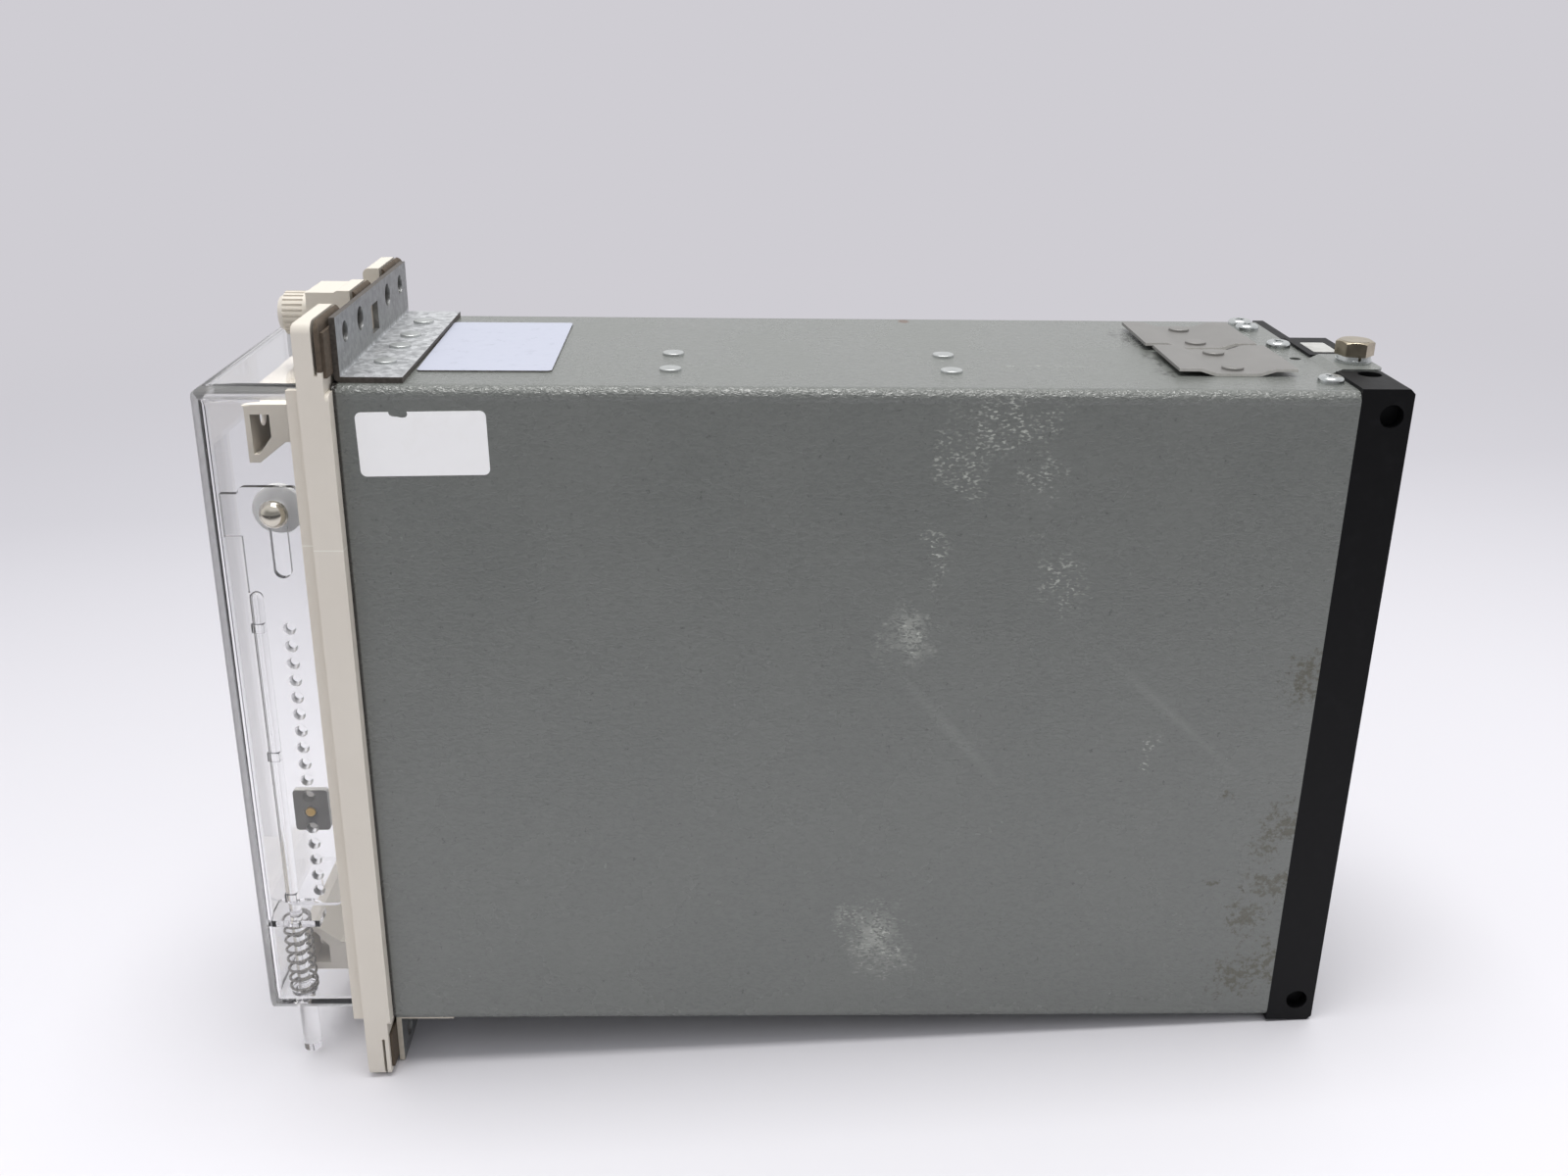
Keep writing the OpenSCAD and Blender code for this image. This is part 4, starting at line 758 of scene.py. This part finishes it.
# Guide stud and bush: a chromed dome-headed stud in the cover's side, and a nylon bush that holds the slide.
# The return spring is coiled from hard-drawn stainless wire, with a closed turn at each end, round the rod.
# Chromed brass is a warm mirror, a little rubbed
chrome = mottled("chromed_brass", 0.9, 4.0, "#BFB9AC", "#D8D3C8", (0.08, 0.16), Metallic=1.0)
finish_nodes(chrome, "guide_stud")

# Natural nylon is milky, and light wanders about in it
nylon = mottled(
    "natural_nylon", 4, 4.0, "#FAFAFA", "#FFFFFF",
    Roughness=0.45, IOR=1.53,
    Subsurface_Weight=0.6, Subsurface_Scale=2.5 * MM, Subsurface_Radius=(1.0, 1.0, 1.0))
finish_nodes(nylon, "guide_bush")

low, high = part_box("reset_spring")
wire = 0.32 * MM
coil_axis = ((low.x + high.x) / 2, (low.y + high.y) / 2)
coil_radius = (high.x - low.x) / 2 - wire
closed = 2.1 * wire
open_turns = 6.5
open_pitch = (high.z - low.z - 2 * wire - 2 * closed) / open_turns
bpy.ops.object.select_all(action="DESELECT")
bpy.ops.curve.primitive_nurbs_path_add()
coil = bpy.context.object
coil.name = "return_spring"
coil.data.splines.clear()
run = coil.data.splines.new("POLY")
per_turn = 40
count = int((open_turns + 2) * per_turn) + 1
run.points.add(count - 1)
for i in range(count):
    turn = i / per_turn
    if turn < 1:
        rise = turn * closed
    elif turn < 1 + open_turns:
        rise = closed + (turn - 1) * open_pitch
    else:
        rise = closed + open_turns * open_pitch + (turn - 1 - open_turns) * closed
    angle = 2 * math.pi * turn
    run.points[i].co = (
        coil_axis[0] + coil_radius * math.cos(angle),
        coil_axis[1] + coil_radius * math.sin(angle),
        low.z + wire + rise, 1)
coil.data.dimensions = "3D"
coil.data.bevel_depth = wire
coil.data.bevel_resolution = 3
coil.data.use_fill_caps = True
only(coil)
bpy.ops.object.convert(target="MESH")
bpy.ops.object.shade_smooth_by_angle(angle=math.radians(40))
settle(coil)
# Drawn wire is a grey metal with fine dark marks from the die
steel = mottled("spring_wire", 0.7, 4.0, "#77756F", "#A09D97", (0.2, 0.36), Metallic=1.0)
coil.data.materials.clear()
coil.data.materials.append(steel)
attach(coil, "cover")
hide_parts("reset_spring")
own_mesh(coil)


# Reset slide: a clear acrylic strip with a slot and a row of countersunk holes, moulded with its push rod.
# A grey pad is pinned in one of the holes and strikes the unit's own reset.
# Moulded acrylic is as clear as glass, with a trace of haze
acrylic, tree, shader, place = begin(
    "clear_acrylic", Base_Color=linear("#FFFFFF"), Transmission_Weight=1.0, IOR=1.45)
haze = add(tree, "TexNoise", {"Vector": place, "Scale": 1 / (9 * MM), "Detail": 6.0})
matt = add(tree, "MapRange", {
    "Value": haze.outputs["Fac"], "From Min": 0.4, "From Max": 0.8, "To Min": 0.0, "To Max": 0.04})
tree.links.new(matt.outputs[0], shader.inputs["Roughness"])
# The drill has left the walls of the holes frosted
drilled, tree, shader, place = begin(
    "drilled_acrylic", Base_Color=linear("#FFFFFF"), Transmission_Weight=1.0, IOR=1.45)
swirl = add(tree, "TexNoise", {"Vector": place, "Scale": 1 / (0.8 * MM), "Detail": 3.0})
matt = add(tree, "MapRange", {"Value": swirl.outputs["Fac"], "To Min": 0.25, "To Max": 0.45})
tree.links.new(matt.outputs[0], shader.inputs["Roughness"])
slide = softened("reset_slide", 0.1 * MM, "reset", acrylic, 2)
slide.visible_shadow = False
low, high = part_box("reset_pin")
row = (low + high) / 2
hole_reach = 2.2 * MM
refinish(slide, drilled, lambda face: (
    abs(face.center.y - row.y) < hole_reach and abs(face.center.x - row.x) < hole_reach
    and abs(face.normal.x) < 0.95 and abs(face.normal.z) < 0.99))

# Acetal is pale grey, matt and even
striker = mottled("grey_acetal", 3, 5.0, "#D6D3CD", "#E4E1DB", Roughness=0.5)
finish_nodes(striker, "reset_pad")


# Studio: the relay lies on a pale paper floor, on the frame's lower edge and the block's lower screws.
# One softbox hangs overhead, the walls give an even light, and the far floor fades into a plain pale ground.
# Each rest is a place along Y and a height
front_rest = (-4.5 * MM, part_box("front_frame")[0].z)
rear_rest = (199.5 * MM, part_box("block_screws")[0].z)
slope = math.atan2(rear_rest[1] - front_rest[1], rear_rest[0] - front_rest[0])
bpy.ops.object.select_all(action="DESELECT")
bpy.ops.mesh.primitive_grid_add(x_subdivisions=24, y_subdivisions=24, size=40)
floor = bpy.context.object
floor.name = "paper_floor"
clear_of_floor = 0.2 * MM
foot = Matrix.Translation((0, front_rest[0], front_rest[1] - clear_of_floor))
floor.matrix_world = foot @ Matrix.Rotation(slope, 4, "X")
settle(floor)
far_ground = linear("#CFCDD3")
white, tree, shader, place = begin("white_paper", Roughness=0.7)
apart = add(tree, "SeparateXYZ", {"Vector": place})
# Painted light: the paper is drawn paler towards the camera and greyer away from it
painted_light_ahead = add(tree, "MapRange", {"Value": apart.outputs["X"], "From Min": -0.40, "From Max": 0.16})
shade = add(tree, "Mix", {
    0: painted_light_ahead.outputs[0], 6: linear("#C4C3C9"), 7: linear("#E7E6EB")}, data_type="RGBA")
tree.links.new(shade.outputs[2], shader.inputs["Base Color"])
reach = add(tree, "VectorMath", {0: place}, operation="LENGTH")
far = add(tree, "MapRange", {
    "Value": reach.outputs["Value"], "From Min": 0.35, "From Max": 1.0}, interpolation_type="SMOOTHSTEP")
seen = add(tree, "LightPath")
looked = add(tree, "Math", {
    0: seen.outputs["Is Camera Ray"], 1: seen.outputs["Is Glossy Ray"]}, operation="MAXIMUM")
looked = add(tree, "Math", {
    0: looked.outputs[0], 1: seen.outputs["Is Transmission Ray"]}, operation="MAXIMUM")
plain = add(tree, "Emission", {"Color": far_ground, "Strength": 1.0})
fade = add(tree, "Math", {0: far.outputs[0], 1: looked.outputs[0]}, operation="MULTIPLY")
ground = add(tree, "MixShader", {0: fade.outputs[0], 1: shader.outputs[0], 2: plain.outputs[0]})
# Reflections find the unlit room where the paper ends in front of the relay
ends = add(tree, "MapRange", {
    "Value": apart.outputs["X"], "From Min": 0.12, "From Max": 0.42, "To Max": 0.85},
    interpolation_type="SMOOTHSTEP")
unlit = add(tree, "Math", {0: ends.outputs[0], 1: seen.outputs["Is Glossy Ray"]}, operation="MULTIPLY")
room = add(tree, "Emission", {"Color": linear("#2E2E31"), "Strength": 1.0})
ground = add(tree, "MixShader", {0: unlit.outputs[0], 1: ground.outputs[0], 2: room.outputs[0]})
tree.links.new(ground.outputs[0], tree.nodes["Material Output"].inputs["Surface"])
floor.data.materials.append(white)

world = bpy.data.worlds.new("studio_walls")
world.use_nodes = True
bpy.context.scene.world = world
sky = world.node_tree
backing = sky.nodes["Background"]
seen = add(sky, "LightPath")
looked = add(sky, "Math", {
    0: seen.outputs["Is Camera Ray"], 1: seen.outputs["Is Transmission Ray"]}, operation="MAXIMUM")
plain = add(sky, "Background", {"Color": far_ground, "Strength": 1.0})
# The wall on the +X side is unlit, so that bright metal has something dark to show
aim = add(sky, "SeparateXYZ", {"Vector": add(sky, "TexCoord").outputs["Generated"]})
towards = add(sky, "MapRange", {
    "Value": aim.outputs["X"], "From Min": 0.1, "From Max": 0.7}, interpolation_type="SMOOTHSTEP")
above = add(sky, "MapRange", {
    "Value": aim.outputs["Z"], "From Min": 0.75, "From Max": 0.35}, interpolation_type="SMOOTHSTEP")
unlit = add(sky, "Math", {0: towards.outputs[0], 1: above.outputs[0]}, operation="MULTIPLY")
walls = add(sky, "Mix", {
    0: unlit.outputs[0], 6: (1.0, 1.0, 1.02, 1.0), 7: (0.4, 0.4, 0.41, 1.0)}, data_type="RGBA")
sky.links.new(walls.outputs[2], backing.inputs["Color"])
backing.inputs["Strength"].default_value = 0.8
pick = add(sky, "MixShader", {0: looked.outputs[0], 1: backing.outputs[0], 2: plain.outputs[0]})
sky.links.new(pick.outputs[0], sky.nodes["World Output"].inputs["Surface"])

lamp = bpy.data.lights.new("overhead", "AREA")
lamp.shape = "RECTANGLE"
lamp.size, lamp.size_y = 0.6, 0.8
lamp.energy = 13
lamp.color = (1.0, 0.99, 0.97)
overhead = bpy.data.objects.new("overhead", lamp)
overhead.location = (0.08, 0.1, 1.3)
bpy.context.scene.collection.objects.link(overhead)

# The camera sees the relay from its right, a little above, as in the photograph
view = bpy.data.cameras.new("photo_camera")
view.sensor_width = 36
view.lens = 34.91
view.clip_start = 0.01
camera = bpy.data.objects.new("photo_camera", view)
right = Vector((0.0243, 0.9996, 0.0127))
ahead = Vector((-0.9302, 0.0273, -0.366)).normalized()
right = (right - right.dot(ahead) * ahead).normalized()
up = right.cross(ahead)
turned = Matrix((right, up, -ahead)).transposed().to_4x4()
camera.matrix_world = Matrix.Translation((0.3290, 0.0794, 0.1485)) @ turned
bpy.context.scene.collection.objects.link(camera)
bpy.context.scene.camera = camera
bpy.context.scene.view_settings.view_transform = "Standard"
